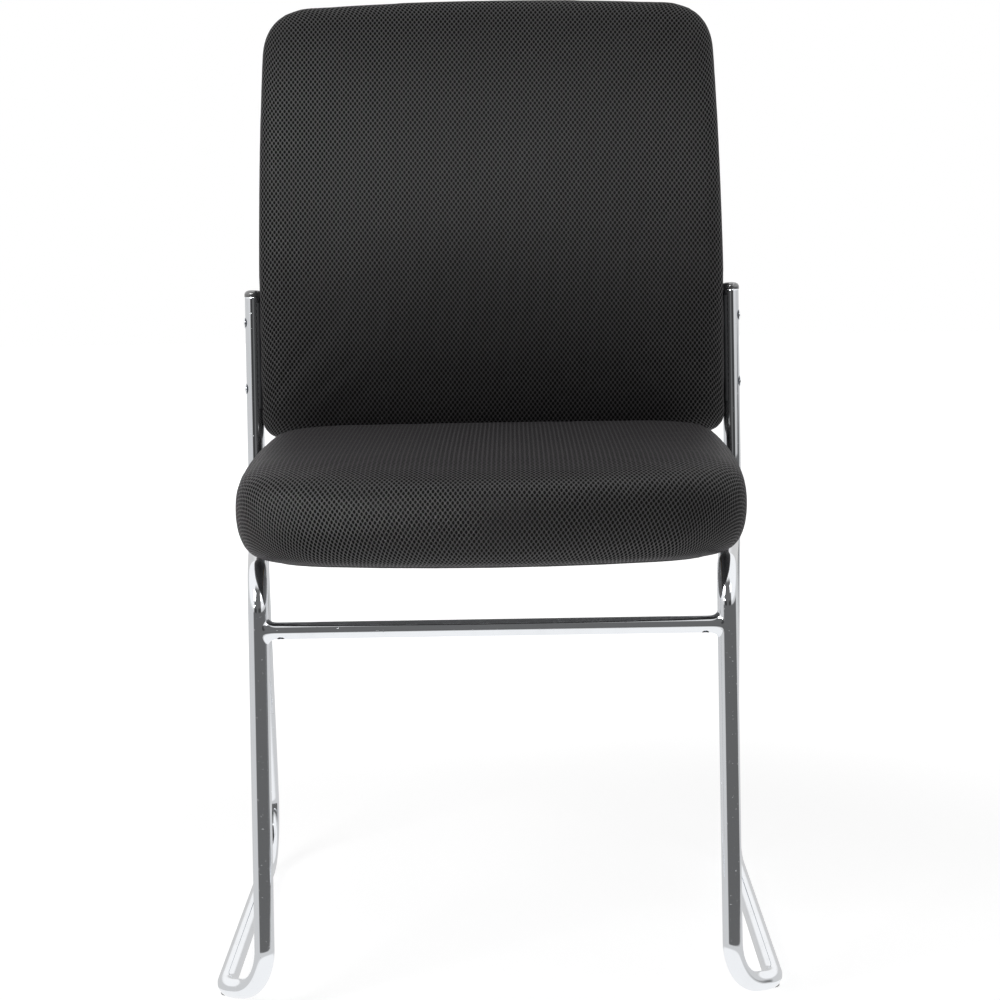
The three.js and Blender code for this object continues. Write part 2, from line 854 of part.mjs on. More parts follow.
// A straight-through body with the back's outline, drawn in by a share
function backPrism(share) {
  const points = scaledOutline(backOutline, backMiddle, share).map((p) => {
    const place = backPoint(p.x, backBottom + p.y, 0);
    return new THREE.Vector2(place.x, place.z);
  });
  const reach = backBendRadius;
  const turn = new THREE.Matrix4().makeBasis(
    new THREE.Vector3(1, 0, 0),
    new THREE.Vector3(0, 0, 1),
    new THREE.Vector3(0, -1, 0),
  );
  return plate(points, -reach, reach).applyMatrix4(turn);
}

// The bracket of one side, cut from angle: side flange by the post, rear flange behind the board
function bracketBody(side, gap) {
  const outer = flangeOuterX + gap;
  const inner = flangeInnerX - gap;
  const nose = -bracketNose - gap;
  const rear = backBoardSetback - flangeRearD + gap;
  const front = rear - bracketThickness - 2 * gap;
  const end = flangeOuterX - rearFlangeWidth - gap;
  const bend = bracketBend;
  const bulge = bend + bracketThickness;
  const shape = new THREE.Shape();
  shape.moveTo(inner, nose);
  shape.lineTo(outer, nose);
  shape.lineTo(outer, rear - bulge);
  shape.absarc(outer - bulge, rear - bulge, bulge, 0, Math.PI / 2, false);
  shape.lineTo(end, rear);
  shape.lineTo(end, front);
  shape.lineTo(inner - bend, front);
  shape.absarc(inner - bend, front - bend, bend, Math.PI / 2, 0, true);
  shape.lineTo(inner, nose);
  const body = new THREE.ExtrudeGeometry(shape, {
    depth: bracketTopZ - bracketBottomZ + 2 * gap,
    bevelEnabled: false,
    curveSegments: screwSides / 4,
  }).translate(0, 0, bracketBottomZ - gap);
  return onSide(side, body);
}

function sideBoltHeights() {
  return { upper: upperBoltZ, lower: lowerBoltZ };
}

function bracketScrewHeights() {
  return {
    upper: bracketTopZ - bracketScrewEdge,
    lower: bracketBottomZ + bracketScrewEdge,
  };
}

const bracketScrewX = flangeOuterX - rearFlangeWidth + bracketScrewInset;

function depthBar(x, s, near, far, radius) {
  return bar(backPoint(x, s, near), backPoint(x, s, far), radius, screwSides);
}

function bracket(side) {
  const bolts = Object.values(sideBoltHeights()).map((z) =>
    bar(
      new THREE.Vector3(side * (flangeInnerX - overrun), 0, z),
      new THREE.Vector3(side * (flangeOuterX + overrun), 0, z),
      boltHoleRadius,
      screwSides,
    ),
  );
  const screws = Object.values(bracketScrewHeights()).map((s) =>
    depthBar(
      side * bracketScrewX,
      s,
      flangeRearD - overrun,
      boardRearD,
      bracketScrewDiameter / 2 + clearance,
    ),
  );
  return cut(bracketBody(side, 0), ...bolts, ...screws);
}

function shellScrewSpots() {
  const bottom = backBottom + ((1 - backBoardShare) * backLength) / 2;
  const top = backBottom + backLength - ((1 - backBoardShare) * backLength) / 2;
  const spots = [];
  for (const [row, s] of Object.entries({
    lower: bottom + shellScrewLow,
    upper: top - shellScrewHigh,
  })) {
    for (const [name, side] of [["left", -1], ["right", 1]]) {
      spots.push({ name: `${row}_${name}`, x: (side * shellScrewSpan) / 2, s });
    }
  }
  return spots;
}

function backBoard() {
  const body = common(bentLayer(boardRearD, 0, backHalf), backPrism(backBoardShare));
  const radius = bracketScrewDiameter / 2 + clearance;
  const tools = [-1, 1].flatMap((side) =>
    Object.values(bracketScrewHeights()).map((s) =>
      depthBar(side * bracketScrewX, s, boardRearD - overrun, overrun, radius),
    ),
  );
  const shellRadius = shellScrewDiameter / 2 + clearance;
  const shellTools = shellScrewSpots().map(({ x, s }) =>
    depthBar(x, s, boardRearD - overrun, overrun, shellRadius),
  );
  return cut(body, ...tools, ...shellTools);
}

// How full the foam is at a share of the back's height: fullest at the small of the back
function foamShare(up) {
  const above = Math.max(0, up - lumbarHeightShare) / (1 - lumbarHeightShare);
  const below = Math.max(0, lumbarHeightShare - up) / lumbarHeightShare;
  return 1 - (1 - foamTopShare) * above * above - (1 - foamBottomShare) * below * below;
}

function backCushion() {
  const depth = backFoam + backBoardThickness;
  const body = lofted(backOutline, backMiddle, backSectionShares, (u, v, rise, share) => {
    const crown = backCrown * (1 - share * share);
    const front = rise * (depth * foamShare(v / backLength) + crown);
    return backPoint(u, backBottom + v, boardRearD + front);
  });
  const grown = backBoardShare + clearance / backHalf;
  const pocket = common(
    bentLayer(boardRearD - overrun, clearance, backHalf + overrun),
    backPrism(grown),
  );
  const tools = [-1, 1].flatMap((side) => {
    const notch = block(
      new THREE.Vector3(flangeInnerX - clearance, -bracketNose - clearance, bracketBottomZ - clearance),
      new THREE.Vector3(backHalf + overrun, backBoardSetback + overrun, bracketTopZ + clearance),
    );
    const capReach = tubeRadius + capOverhang + clearance;
    const postNotch = block(
      new THREE.Vector3(railX - capReach, -capReach, -overrun),
      new THREE.Vector3(
        backHalf + overrun,
        backBoardSetback + overrun,
        postLength + capRimHeight + capDomeHeight + clearance,
      ),
    );
    const nuts = Object.values(sideBoltHeights()).map((z) =>
      bar(
        new THREE.Vector3(side * (backBoardHalf + clearance), 0, z),
        new THREE.Vector3(side * (backHalf + overrun), 0, z),
        nutAcrossCorners / 2 + clearance,
        screwSides,
      ),
    );
    return [onSide(side, notch), onSide(side, postNotch), bracketBody(side, clearance), ...nuts];
  });
  return cut(body, pocket, ...tools);
}

function backShell() {
  const outerDepth = shellDepth;
  const innerDepth = shellDepth - shellWall;
  const wallShare = shellWall / backHalf;
  const rimD = boardRearD - clearance;
  const outer = shellOuterShares.map(([share, rise]) => [share, rimD - rise * outerDepth]);
  const rim = [[shellShare, rimD], [shellShare - wallShare, rimD]];
  const inner = shellOuterShares
    .map(([share, rise]) => [share - wallShare, rimD - rise * innerDepth])
    .reverse();
  const rows = [...outer, ...rim, ...inner];
  const body = lofted(backOutline, backMiddle, rows, (u, v, d) => backPoint(u, backBottom + v, d));
  const bosses = shellScrewSpots().map(({ x, s }) =>
    depthBar(x, s, rimD - outerDepth + shellWall / 2, rimD, shellBossDiameter / 2),
  );
  const holes = shellScrewSpots().flatMap(({ x, s }) => [
    depthBar(x, s, rimD - outerDepth - overrun, overrun, shellScrewDiameter / 2 + clearance),
    depthBar(
      x,
      s,
      rimD - outerDepth - overrun,
      rimD - outerDepth + shellScrewSink,
      shellScrewHeadDiameter / 2 + clearance,
    ),
  ]);
  const brackets = [-1, 1].map((side) => bracketBody(side, clearance));
  return cut(join(body, ...bosses), ...holes, ...brackets);
}

function nut(side, height) {
  const body = bar(
    new THREE.Vector3(side * (flangeInnerX - clearance), 0, height),
    new THREE.Vector3(side * (flangeInnerX - clearance - nutHeight), 0, height),
    nutAcrossCorners / 2,
    nutSides,
  );
  const bore = bar(
    new THREE.Vector3(side * (flangeInnerX - nutHeight - overrun), 0, height),
    new THREE.Vector3(side * (flangeInnerX + overrun), 0, height),
    boltHoleRadius,
    screwSides,
  );
  return cut(body, bore);
}

function sideBolt(side, height) {
  const length = railX + tubeRadius - backBoardHalf - clearance;
  const body = panScrew(
    boltDiameter / 2,
    length,
    sideBoltHeadDiameter / 2,
    sideBoltHeadHeight,
  );
  const seat = new THREE.Vector3(side * (railX + tubeRadius + clearance), 0, height);
  return aimed(body, seat, new THREE.Vector3(-side, 0, 0));
}

function rearScrew(x, s, d, sizes) {
  const body = panScrew(sizes.shank, sizes.length, sizes.head, sizes.height);
  return aimed(body, backPoint(x, s, d), backNormal(s));
}

// Assembly

const chair = new THREE.Group();
const frame = new THREE.Group();
const seat = new THREE.Group();
const back = new THREE.Group();
back.position.set(0, hipSetback, hipHeight);
back.rotation.x = -lean;
chair.add(frame, seat, back);

const sides = { left: -1, right: 1 };

for (const [name, side] of Object.entries(sides)) {
  frame.add(piece(`side_frame_${name}`, sideFrame(side), "chrome"));
  for (const [row, y] of Object.entries(glidePlaces())) {
    frame.add(piece(`glide_${row}_${name}`, glide(side, y), "blackPlastic"));
  }
  for (const [row, y] of Object.entries(tabPlaces)) {
    frame.add(piece(`seat_tab_${row}_${name}`, seatTab(side, y), "chrome"));
  }
  const cap = piece(`post_cap_${name}`, postCap(), "blackPlastic");
  cap.position.set(side * railX, 0, postLength);
  back.add(cap);
}
frame.add(piece("front_crossbar", frontCrossbar(), "chrome"));
frame.add(piece("rear_crossbar", rearCrossbar(), "chrome"));

seat.add(piece("seat_cushion", seatCushion(), "spacerMesh"));
seat.add(piece("seat_board", seatBoard(), "plywood"));
seat.add(piece("seat_dust_cover", seatCover(), "nonwoven"));
for (const { name, x, y } of seatScrewSpots()) {
  const top = boardBottomZ + boardThickness;
  const nutBase = top - teeBarrelLength - teeFlangeThickness;
  const tee = piece(`tee_nut_${name}`, teeNut(), "zinc");
  tee.position.set(x, y, nutBase);
  const headSeat = seatUnderside - clearance - tabThickness - clearance;
  const shank = top - seatScrewTail - headSeat;
  const body = panScrew(
    boltDiameter / 2,
    shank,
    seatScrewHeadDiameter / 2,
    seatScrewHeadHeight,
  );
  const screw = piece(`seat_screw_${name}`, body, "zinc");
  screw.position.set(x, y, headSeat);
  seat.add(tee, screw);
}

back.add(piece("back_cushion", backCushion(), "spacerMesh"));
back.add(piece("back_board", backBoard(), "plywood"));
back.add(piece("back_shell", backShell(), "blackPlastic"));
for (const [name, side] of Object.entries(sides)) {
  back.add(piece(`back_bracket_${name}`, bracket(side), "blackSteel"));
  for (const [row, height] of Object.entries(sideBoltHeights())) {
    back.add(piece(`back_bolt_${row}_${name}`, sideBolt(side, height), "chrome"));
    back.add(piece(`back_nut_${row}_${name}`, nut(side, height), "zinc"));
  }
  for (const [row, s] of Object.entries(bracketScrewHeights())) {
    const sizes = {
      shank: bracketScrewDiameter / 2,
      length: bracketThickness + clearance + clearance + bracketScrewBite,
      head: bracketScrewHeadDiameter / 2,
      height: bracketScrewHeadHeight,
    };
    const body = rearScrew(side * bracketScrewX, s, flangeRearD - clearance, sizes);
    back.add(piece(`bracket_screw_${row}_${name}`, body, "zinc"));
  }
}
for (const { name, x, s } of shellScrewSpots()) {
  const d = boardRearD - clearance - shellDepth + shellScrewSink - clearance;
  const sizes = {
    shank: shellScrewDiameter / 2,
    length: boardRearD + shellScrewBite - d,
    head: shellScrewHeadDiameter / 2,
    height: shellScrewHeadHeight,
  };
  back.add(piece(`shell_screw_${name}`, rearScrew(x, s, d, sizes), "blackSteel"));
}

// The group's origin goes to the middle of its plan, on the floor
const box = new THREE.Box3().setFromObject(chair, true);
const middle = box.getCenter(new THREE.Vector3());
chair.position.set(-middle.x, -middle.y, -box.min.z);

export default chair;
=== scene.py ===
"""Looks of a sled base visitor chair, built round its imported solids.

The classes hold lengths in millimetres, measured from the plane of the knees, the chair's middle and the
floor, as the part's own source does. to_row() turns them into metres of the row frame.
"""

import logging
import math
from dataclasses import dataclass, replace
from enum import Enum
from typing import Callable, Sequence

import bpy
import numpy as np
from mathutils import Matrix, Vector
from mathutils.bvhtree import BVHTree


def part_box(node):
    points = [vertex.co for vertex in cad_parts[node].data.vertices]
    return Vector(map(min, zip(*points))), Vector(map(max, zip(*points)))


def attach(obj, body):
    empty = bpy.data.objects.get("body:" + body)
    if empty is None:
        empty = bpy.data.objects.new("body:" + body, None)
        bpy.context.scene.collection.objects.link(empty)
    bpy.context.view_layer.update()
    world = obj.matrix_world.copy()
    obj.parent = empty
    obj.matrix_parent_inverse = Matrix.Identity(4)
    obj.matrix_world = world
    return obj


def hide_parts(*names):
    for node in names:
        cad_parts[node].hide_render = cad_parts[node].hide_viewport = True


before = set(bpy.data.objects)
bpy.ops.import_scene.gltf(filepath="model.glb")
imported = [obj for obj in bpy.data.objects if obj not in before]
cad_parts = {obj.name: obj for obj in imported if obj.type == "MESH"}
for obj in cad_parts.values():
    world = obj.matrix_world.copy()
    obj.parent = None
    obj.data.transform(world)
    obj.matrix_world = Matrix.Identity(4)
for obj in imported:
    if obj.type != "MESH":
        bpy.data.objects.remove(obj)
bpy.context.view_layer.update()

log = logging.getLogger("visitor_chair")

Rows = Sequence[tuple[float, float]]
Faces = list[tuple[int, ...]]
Spots = list[tuple[np.ndarray, np.ndarray]]  # where a screw's head sits and the way it faces
Socket = bpy.types.NodeSocket
Colour = tuple[float, float, float, float]

MM = 0.001
GLIDE_SETBACK = 44.0  # from the knees back to the front glides, which show where the row frame starts
BODY = "root"
SIDES = {"left": -1.0, "right": 1.0}
RIGHT, BACKWARD, UP = np.eye(3)
CLOTH_MAP = "cloth"
TUBE_SIDES = 56


def knee_plane() -> float:
    """The knees' plane, in millimetres of the row frame's Y, from the front glide's middle."""
    low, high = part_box("glide_front_right")
    return (low.y + high.y) / 2 / MM - GLIDE_SETBACK


KNEE_PLANE = knee_plane()


def to_row(points: np.ndarray) -> np.ndarray:
    """Turns points in millimetres, from the knees' plane, into metres of the row frame."""
    moved = np.asarray(points, float).copy()
    moved[..., 1] += KNEE_PLANE
    return moved * MM


def from_row(points: np.ndarray) -> np.ndarray:
    """Turns metres of the row frame into millimetres from the knees' plane."""
    moved = np.asarray(points, float) / MM
    moved[..., 1] -= KNEE_PLANE
    return moved


def vec(*values: float) -> np.ndarray:
    """A vector of its parts."""
    return np.array(values, float)


def unit(vector: np.ndarray) -> np.ndarray:
    """The vector at length one."""
    return vector / np.linalg.norm(vector)


def quadratic(start: np.ndarray, control: np.ndarray, end: np.ndarray, t: float) -> np.ndarray:
    """A point of the curve from start to end that bends towards control."""
    return (1 - t) ** 2 * start + 2 * t * (1 - t) * control + t * t * end


def between(value: np.ndarray, low: float, high: float) -> np.ndarray:
    """A share that eases from 0 at low to 1 at high."""
    t = np.clip((value - low) / (high - low), 0, 1)
    return t * t * (3 - 2 * t)


# Meshes


def skin(count: int, size: int, closed: bool = True) -> Faces:
    """Faces over rings of points that follow one another.

    Args:
        count: how many rings there are.
        size: points in each ring.
        closed: whether two points after the rings', one for each end, close the body.
    Returns:
        The faces.
    """
    faces: Faces = []
    for i in range(count - 1):
        for j in range(size):
            k = (j + 1) % size
            faces.append((i * size + j, i * size + k, (i + 1) * size + k, (i + 1) * size + j))
    if closed:
        final, last = count * size, (count - 1) * size
        for j in range(size):
            k = (j + 1) % size
            faces += [(final, k, j), (final + 1, last + j, last + k)]
    return faces


class Shape:
    """Vertices and faces of one piece, gathered in millimetres before it becomes an object."""

    def __init__(self, rings: Sequence[np.ndarray] = ()) -> None:
        self.points: list[np.ndarray] = []
        self.faces: Faces = []
        self.count = 0
        if len(rings):
            self.add_rings(rings)

    def add(self, points: np.ndarray, faces: Faces) -> "Shape":
        """Adds points and the faces that use them, counted from the first of these points."""
        start = self.count
        self.points.append(points)
        self.faces.extend(tuple(start + i for i in face) for face in faces)
        self.count += len(points)
        return self

    def add_rings(self, rings: Sequence[np.ndarray], closed: bool = True) -> None:
        """Adds a skin over rings of equal length.

        Args:
            rings: closed rings in order, each turning left about the way to the next one.
            closed: whether a point in the middle of each end ring closes the body.
        """
        points = np.concatenate(rings)
        if closed:
            points = np.concatenate([points, [rings[0].mean(0), rings[-1].mean(0)]])
        self.add(points, skin(len(rings), len(rings[0]), closed))

    def mesh(self, name: str) -> bpy.types.Mesh:
        """Makes the Blender mesh, in the row frame."""
        mesh = bpy.data.meshes.new(name)
        mesh.from_pydata(to_row(np.concatenate(self.points)).tolist(), [], self.faces)
        mesh.update()
        return mesh

    def stand(self, name: str) -> bpy.types.Object:
        """Puts the piece in the scene."""
        return stand(name, self.mesh(name))


def stand(name: str, data: bpy.types.ID) -> bpy.types.Object:
    """Puts a mesh, a lamp or a camera in the scene as an object at the origin."""
    thing = bpy.data.objects.new(name, data)
    bpy.context.scene.collection.objects.link(thing)
    return thing


def baked(thing: bpy.types.Object) -> bpy.types.Mesh:
    """A plain mesh of an object with its modifiers applied; the modifiers are taken off."""
    bpy.context.view_layer.update()
    ready = thing.evaluated_get(bpy.context.evaluated_depsgraph_get())
    mesh = bpy.data.meshes.new_from_object(ready)
    mesh.name = thing.name
    thing.modifiers.clear()
    thing.data = mesh
    return mesh


def cut_with(thing: bpy.types.Object, tool: bpy.types.Object) -> None:
    """Cuts one object with another and drops the tool."""
    step = thing.modifiers.new("cut", "BOOLEAN")
    step.operation, step.solver, step.object = "DIFFERENCE", "EXACT", tool
    baked(thing)
    bpy.data.objects.remove(tool)


def finish_piece(thing: bpy.types.Object, finish: "Finish", nodes: Sequence[str], sharp: float) -> None:
    """Dresses a finished piece, lets it ride on the chair and says which nodes it stands for.

    Args:
        thing: the piece.
        finish: what it is covered in.
        nodes: the solids that it stands for.
        sharp: edges that turn by more degrees than this stay crisp.
    """
    mesh = thing.data
    mesh.shade_smooth()
    if sharp < 180:
        mesh.set_sharp_from_angle(angle=math.radians(sharp))
    if not mesh.materials:
        mesh.materials.append(finish.material())
    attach(thing, BODY)
    if nodes:
        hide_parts(*nodes)
    log.info("%s: %d faces, stands for %s", thing.name, len(mesh.polygons), list(nodes))


def ring(
    centre: np.ndarray, tangent: np.ndarray, normal: np.ndarray, radius: float, sides: int
) -> np.ndarray:
    """A circle of points square to a tangent."""
    other = np.cross(tangent, normal)
    turns = np.arange(sides) * (2 * math.pi / sides)
    return centre + radius * (np.outer(np.cos(turns), normal) + np.outer(np.sin(turns), other))


def turned(rows: Rows, place: np.ndarray, axis: np.ndarray, sides: int) -> list[np.ndarray]:
    """Rings of a lathe-turned body.

    Args:
        rows: radius and height of each ring, bottom to top.
        place: where height zero stands.
        axis: the way that heights go.
        sides: points in each ring.
    Returns:
        The rings, in the order of the rows.
    """
    axis = unit(axis)
    normal = unit(np.cross(axis, RIGHT if abs(axis[0]) < 0.9 else BACKWARD))
    return [ring(place + axis * height, axis, normal, max(radius, 1e-3), sides) for radius, height in rows]


def rounded_edge(radius: float, low: float, soft: float, steps: int) -> list[tuple[float, float]]:
    """Rows of a turned body's lower edge, rounded by a soft radius up from a low height."""
    turns = (math.pi / 2 * k / steps for k in range(1, steps + 1))
    return [(radius - soft + soft * math.sin(t), low + soft - soft * math.cos(t)) for t in turns]


class BentLine:
    """A centre line of straight runs joined by true arcs."""

    def __init__(self, corners: Sequence[np.ndarray], radii: Sequence[float], step: float = 2.5) -> None:
        self.points: list[np.ndarray] = []
        self.tangents: list[np.ndarray] = []
        heading = [unit(b - a) for a, b in zip(corners, corners[1:])]
        self._add(corners[0], heading[0])
        for corner, before, after, radius in zip(corners[1:], heading, heading[1:], radii):
            self._add_arc(corner, before, after, radius, step)
        self._add(corners[-1], heading[-1])

    def _add(self, point: np.ndarray, tangent: np.ndarray) -> None:
        """Adds one station."""
        self.points.append(point)
        self.tangents.append(tangent)

    def _add_arc(
        self, corner: np.ndarray, before: np.ndarray, after: np.ndarray, radius: float, step: float
    ) -> None:
        """Adds the stations of the arc that rounds a corner, and one a little way before and after it."""
        turn = math.acos(float(np.clip(before @ after, -1, 1)))
        start = corner - before * radius * math.tan(turn / 2)
        side = unit(after - before * float(after @ before))
        count = max(2, math.ceil(math.degrees(turn) / step))
        self._add(start - before * 2.0, before)
        for k in range(count + 1):
            angle = turn * k / count
            self._add(
                start + before * radius * math.sin(angle) + side * radius * (1 - math.cos(angle)),
                before * math.cos(angle) + side * math.sin(angle),
            )
        self._add(self.points[-1] + after * 2.0, after)

    def rings(self, radius: float, sides: int) -> list[np.ndarray]:
        """Rings along the line that don't twist about it."""
        before = self.tangents[0]
        normal = unit(np.cross(before, RIGHT))
        rings = []
        for point, tangent in zip(self.points, self.tangents):
            turn = Vector(before).rotation_difference(Vector(tangent))
            normal = np.array(turn @ Vector(normal))
            rings.append(ring(point, tangent, normal, radius, sides))
            before = tangent
        return rings


@dataclass(frozen=True)
class WeldFillet:
    """The rounded weld where a bar meets the side of a tube."""

    tube_radius: float
    bar_radius: float
    reach: float  # how far the fillet runs along the bar
    spread: float  # how far its edge lies from the bar's axis, over the tube's skin
    steps: int = 10

    def rings(
        self, centre: np.ndarray, axis: np.ndarray, along: np.ndarray, across: np.ndarray
    ) -> list[np.ndarray]:
        """Rings from the bar out to the tube's skin, and one inside the tube.

        Args:
            centre: where the bar's axis meets the tube's.
            axis: the tube's direction.
            along: from the tube along the bar.
            across: square to both, the same at both ends of a bar.
        Returns:
            The rings, from the bar's plain part to the tube.
        """
        up = unit(axis - along * float(axis @ along))
        run = along - axis * float(along @ axis)
        square = unit(run)
        start, control, end = [], [], []
        for turn in np.arange(TUBE_SIDES) * (2 * math.pi / TUBE_SIDES):
            foot = centre + self.bar_radius * (math.cos(turn) * up + math.sin(turn) * across)
            from_axis = foot - centre
            flat = from_axis - axis * float(from_axis @ axis)
            a, b, c = float(run @ run), 2 * float(flat @ run), float(flat @ flat) - self.tube_radius**2
            hit = (-b + math.sqrt(max(b * b - 4 * a * c, 0.0))) / (2 * a)
            wrap = self.spread * math.sin(turn) / self.tube_radius
            out = self.tube_radius * (math.cos(wrap) * square + math.sin(wrap) * across)
            start.append(foot + along * (self.tube_radius + self.reach))
            control.append(foot + along * hit)
            end.append(centre + axis * self.spread * math.cos(turn) + out)
        start, control, end = np.array(start), np.array(control), np.array(end)
        rings = [quadratic(start, control, end, k / self.steps) for k in range(self.steps + 1)]
        return rings + [centre + (end - centre) * 0.6]


# Node trees


class Board:
    """A node tree that is written a node at a time."""

    def __init__(self, tree: bpy.types.NodeTree) -> None:
        self.tree = tree
        self.column = 0

    @classmethod
    def of(cls, owner: bpy.types.Material | bpy.types.World) -> "Board":
        """An empty board on a material's or a world's own tree."""
        owner.use_nodes = True
        owner.node_tree.nodes.clear()
        return cls(owner.node_tree)

    def fill(self, node: bpy.types.Node, inputs: dict) -> None:
        """Joins sockets to a node's inputs, or sets their values, by the input's name or number."""
        for key, value in inputs.items():
            if isinstance(value, Socket):
                self.tree.links.new(value, node.inputs[key])
            else:
                node.inputs[key].default_value = value

    def add(self, kind: str, inputs: dict | None = None, **settings) -> bpy.types.Node:
        """Adds a node.

        Args:
            kind: the node's Blender type.
            inputs: values or sockets to join, by the input's name or number.
            settings: properties of the node.
        Returns:
            The node.
        """
        node = self.tree.nodes.new(kind)
        node.location = (self.column, 0)
        self.column += 190
        for key, value in settings.items():
            setattr(node, key, value)
        self.fill(node, inputs or {})
        return node

    def out(self, kind: str, inputs: dict | None = None, which: int | str = 0, **settings) -> Socket:
        """One output of a new node, the first one unless another is named."""
        return self.add(kind, inputs, **settings).outputs[which]

    def math(self, operation: str, *values, clamp: bool = False) -> Socket:
        """The result of a Math node."""
        return self.out("ShaderNodeMath", dict(enumerate(values)), operation=operation, use_clamp=clamp)

    def plus(self, one, other, clamp: bool = False) -> Socket:
        """A sum."""
        return self.math("ADD", one, other, clamp=clamp)

    def times(self, one, other, clamp: bool = False) -> Socket:
        """A product."""
        return self.math("MULTIPLY", one, other, clamp=clamp)

    def vector(self, operation: str, *values) -> Socket:
        """The vector result of a Vector Math node."""
        return self.out("ShaderNodeVectorMath", dict(enumerate(values)), operation=operation)

    def stretched(self, vector: Socket, *shares: float) -> Socket:
        """A vector, each part multiplied by its share."""
        return self.vector("MULTIPLY", vector, shares)

    def length(self, vector: Socket) -> Socket:
        """A vector's length."""
        return self.out("ShaderNodeVectorMath", {0: vector}, 1, operation="LENGTH")

    def xyz(self, *parts) -> Socket:
        """A vector of three parts."""
        return self.out("ShaderNodeCombineXYZ", dict(enumerate(parts)))

    def parts(self, vector: Socket) -> Sequence[Socket]:
        """A vector's three parts."""
        return self.add("ShaderNodeSeparateXYZ", {0: vector}).outputs

    def ramp(self, value, low: float, high: float, start: float = 0.0, end: float = 1.0) -> Socket:
        """A value that eases from start to end while the input goes from low to high."""
        inputs = {0: value, 1: low, 2: high, 3: start, 4: end}
        return self.out("ShaderNodeMapRange", inputs, interpolation_type="SMOOTHSTEP")

    def window(self, value: Socket, rise: tuple[float, float], fall: tuple[float, float]) -> Socket:
        """A value that eases up over one range of the input and down again over another."""
        return self.times(self.ramp(value, *rise), self.ramp(value, *fall, 1.0, 0.0))

    def mix(self, share, one, other) -> Socket:
        """Two colours mixed by a share."""
        return self.out("ShaderNodeMix", {0: share, 6: one, 7: other}, 2, data_type="RGBA")

    def blend(self, share: Socket, one: Socket, other: Socket) -> Socket:
        """Two shaders mixed by a share."""
        return self.out("ShaderNodeMixShader", {0: share, 1: one, 2: other})

    def noise(self, vector, scale, detail: float = 3.0, roughness: float = 0.55) -> Socket:
        """A noise value from 0 to 1."""
        inputs = {"Vector": vector, "Scale": scale, "Detail": detail, "Roughness": roughness}
        return self.out("ShaderNodeTexNoise", inputs)

    def bump(self, height, strength: float, distance: float, **normal: Socket) -> Socket:
        """A normal roughened by a height in metres times distance, over Normal where it is given."""
        inputs = {"Height": height, "Strength": strength, "Distance": distance}
        return self.out("ShaderNodeBump", inputs | normal)

    def group(self, tree: bpy.types.NodeTree, inputs: dict) -> Sequence[Socket]:
        """The outputs of a node group."""
        return self.add("ShaderNodeGroup", inputs, node_tree=tree).outputs

    def dust(self, place: Socket, amount: float) -> Socket:
        """How much dust lies at a place."""
        return self.group(settled_dust(), {"Vector": place, "Amount": amount})[0]


def node_group(given: dict[str, float | None]) -> Callable:
    """Makes a function that writes nodes into one that gives its shader node group, made once.

    Args:
        given: each input's name and default; an input without a default is a vector.
    Returns:
        The decorator. The function takes the board and the inputs and returns the outputs by name.
    """

    def decorate(write: Callable[[Board, Sequence[Socket]], dict[str, Socket]]) -> Callable:
        def made() -> bpy.types.NodeTree:
            known = bpy.data.node_groups.get(write.__name__)
            if known:
                return known
            tree = bpy.data.node_groups.new(write.__name__, "ShaderNodeTree")
            for label, default in given.items():
                kind = "NodeSocketVector" if default is None else "NodeSocketFloat"
                socket = tree.interface.new_socket(label, in_out="INPUT", socket_type=kind)
                if default is not None:
                    socket.default_value = default
            board = Board(tree)
            results = write(board, board.add("NodeGroupInput").outputs)
            for label in results:
                tree.interface.new_socket(label, in_out="OUTPUT", socket_type="NodeSocketFloat")
            board.add("NodeGroupOutput", results)
            return tree

        return made

    return decorate


@node_group(
    {
        "Vector": None,
        "Cell Width": 0.00476,
        "Cell Height": 0.0061,
        "Hole Width": 0.0024,
        "Hole Height": 0.0033,
    }
)
def spacer_weave(board: Board, given: Sequence[Socket]) -> dict[str, Socket]:
    """Oval holes on a centred lattice, with knitted strands crossing between them."""
    cell = board.xyz(given["Cell Width"], given["Cell Height"], 1.0)
    hole = board.xyz(given["Hole Width"], given["Hole Height"], 1.0)
    shape = board.vector("DIVIDE", cell, hole)
    drift = board.out("ShaderNodeTexNoise", {"Vector": given["Vector"], "Scale": 40.0, "Detail": 1.0}, 1)
    sway = {0: board.vector("SUBTRACT", drift, (0.5, 0.5, 0.5)), "Scale": 0.0011}
    sway = board.out("ShaderNodeVectorMath", sway, operation="SCALE")
    place = board.vector("DIVIDE", board.vector("ADD", given["Vector"], sway), cell)
    flat = board.stretched(place, 1.0, 1.0, 0.0)
    near = []
    for offset in ((0.0, 0.0, 0.0), (0.5, 0.5, 0.0)):
        inside = board.vector("FRACTION", board.vector("ADD", flat, offset))
        centred = board.vector("SUBTRACT", inside, (0.5, 0.5, 0.0))
        near.append(board.length(board.stretched(board.vector("MULTIPLY", centred, shape), 2.0, 2.0, 0.0)))
    distance = board.math("MINIMUM", *near)
    body = board.ramp(distance, 0.8, 1.75)
    across, up, _ = board.parts(flat)
    twill = board.plus(board.times(across, 5.0), board.times(up, 9.0))
    rib = board.math("SINE", board.times(twill, 2 * math.pi))
    fibre = board.noise(given["Vector"], 2600.0, 2.0)
    thread = board.plus(board.times(rib, 0.12), board.times(fibre, 0.5))
    return {
        "Hole": board.ramp(distance, 0.78, 1.18, 1.0, 0.0),
        "Strand": board.plus(body, thread),
        "Height": board.plus(body, board.times(thread, 0.45)),
    }


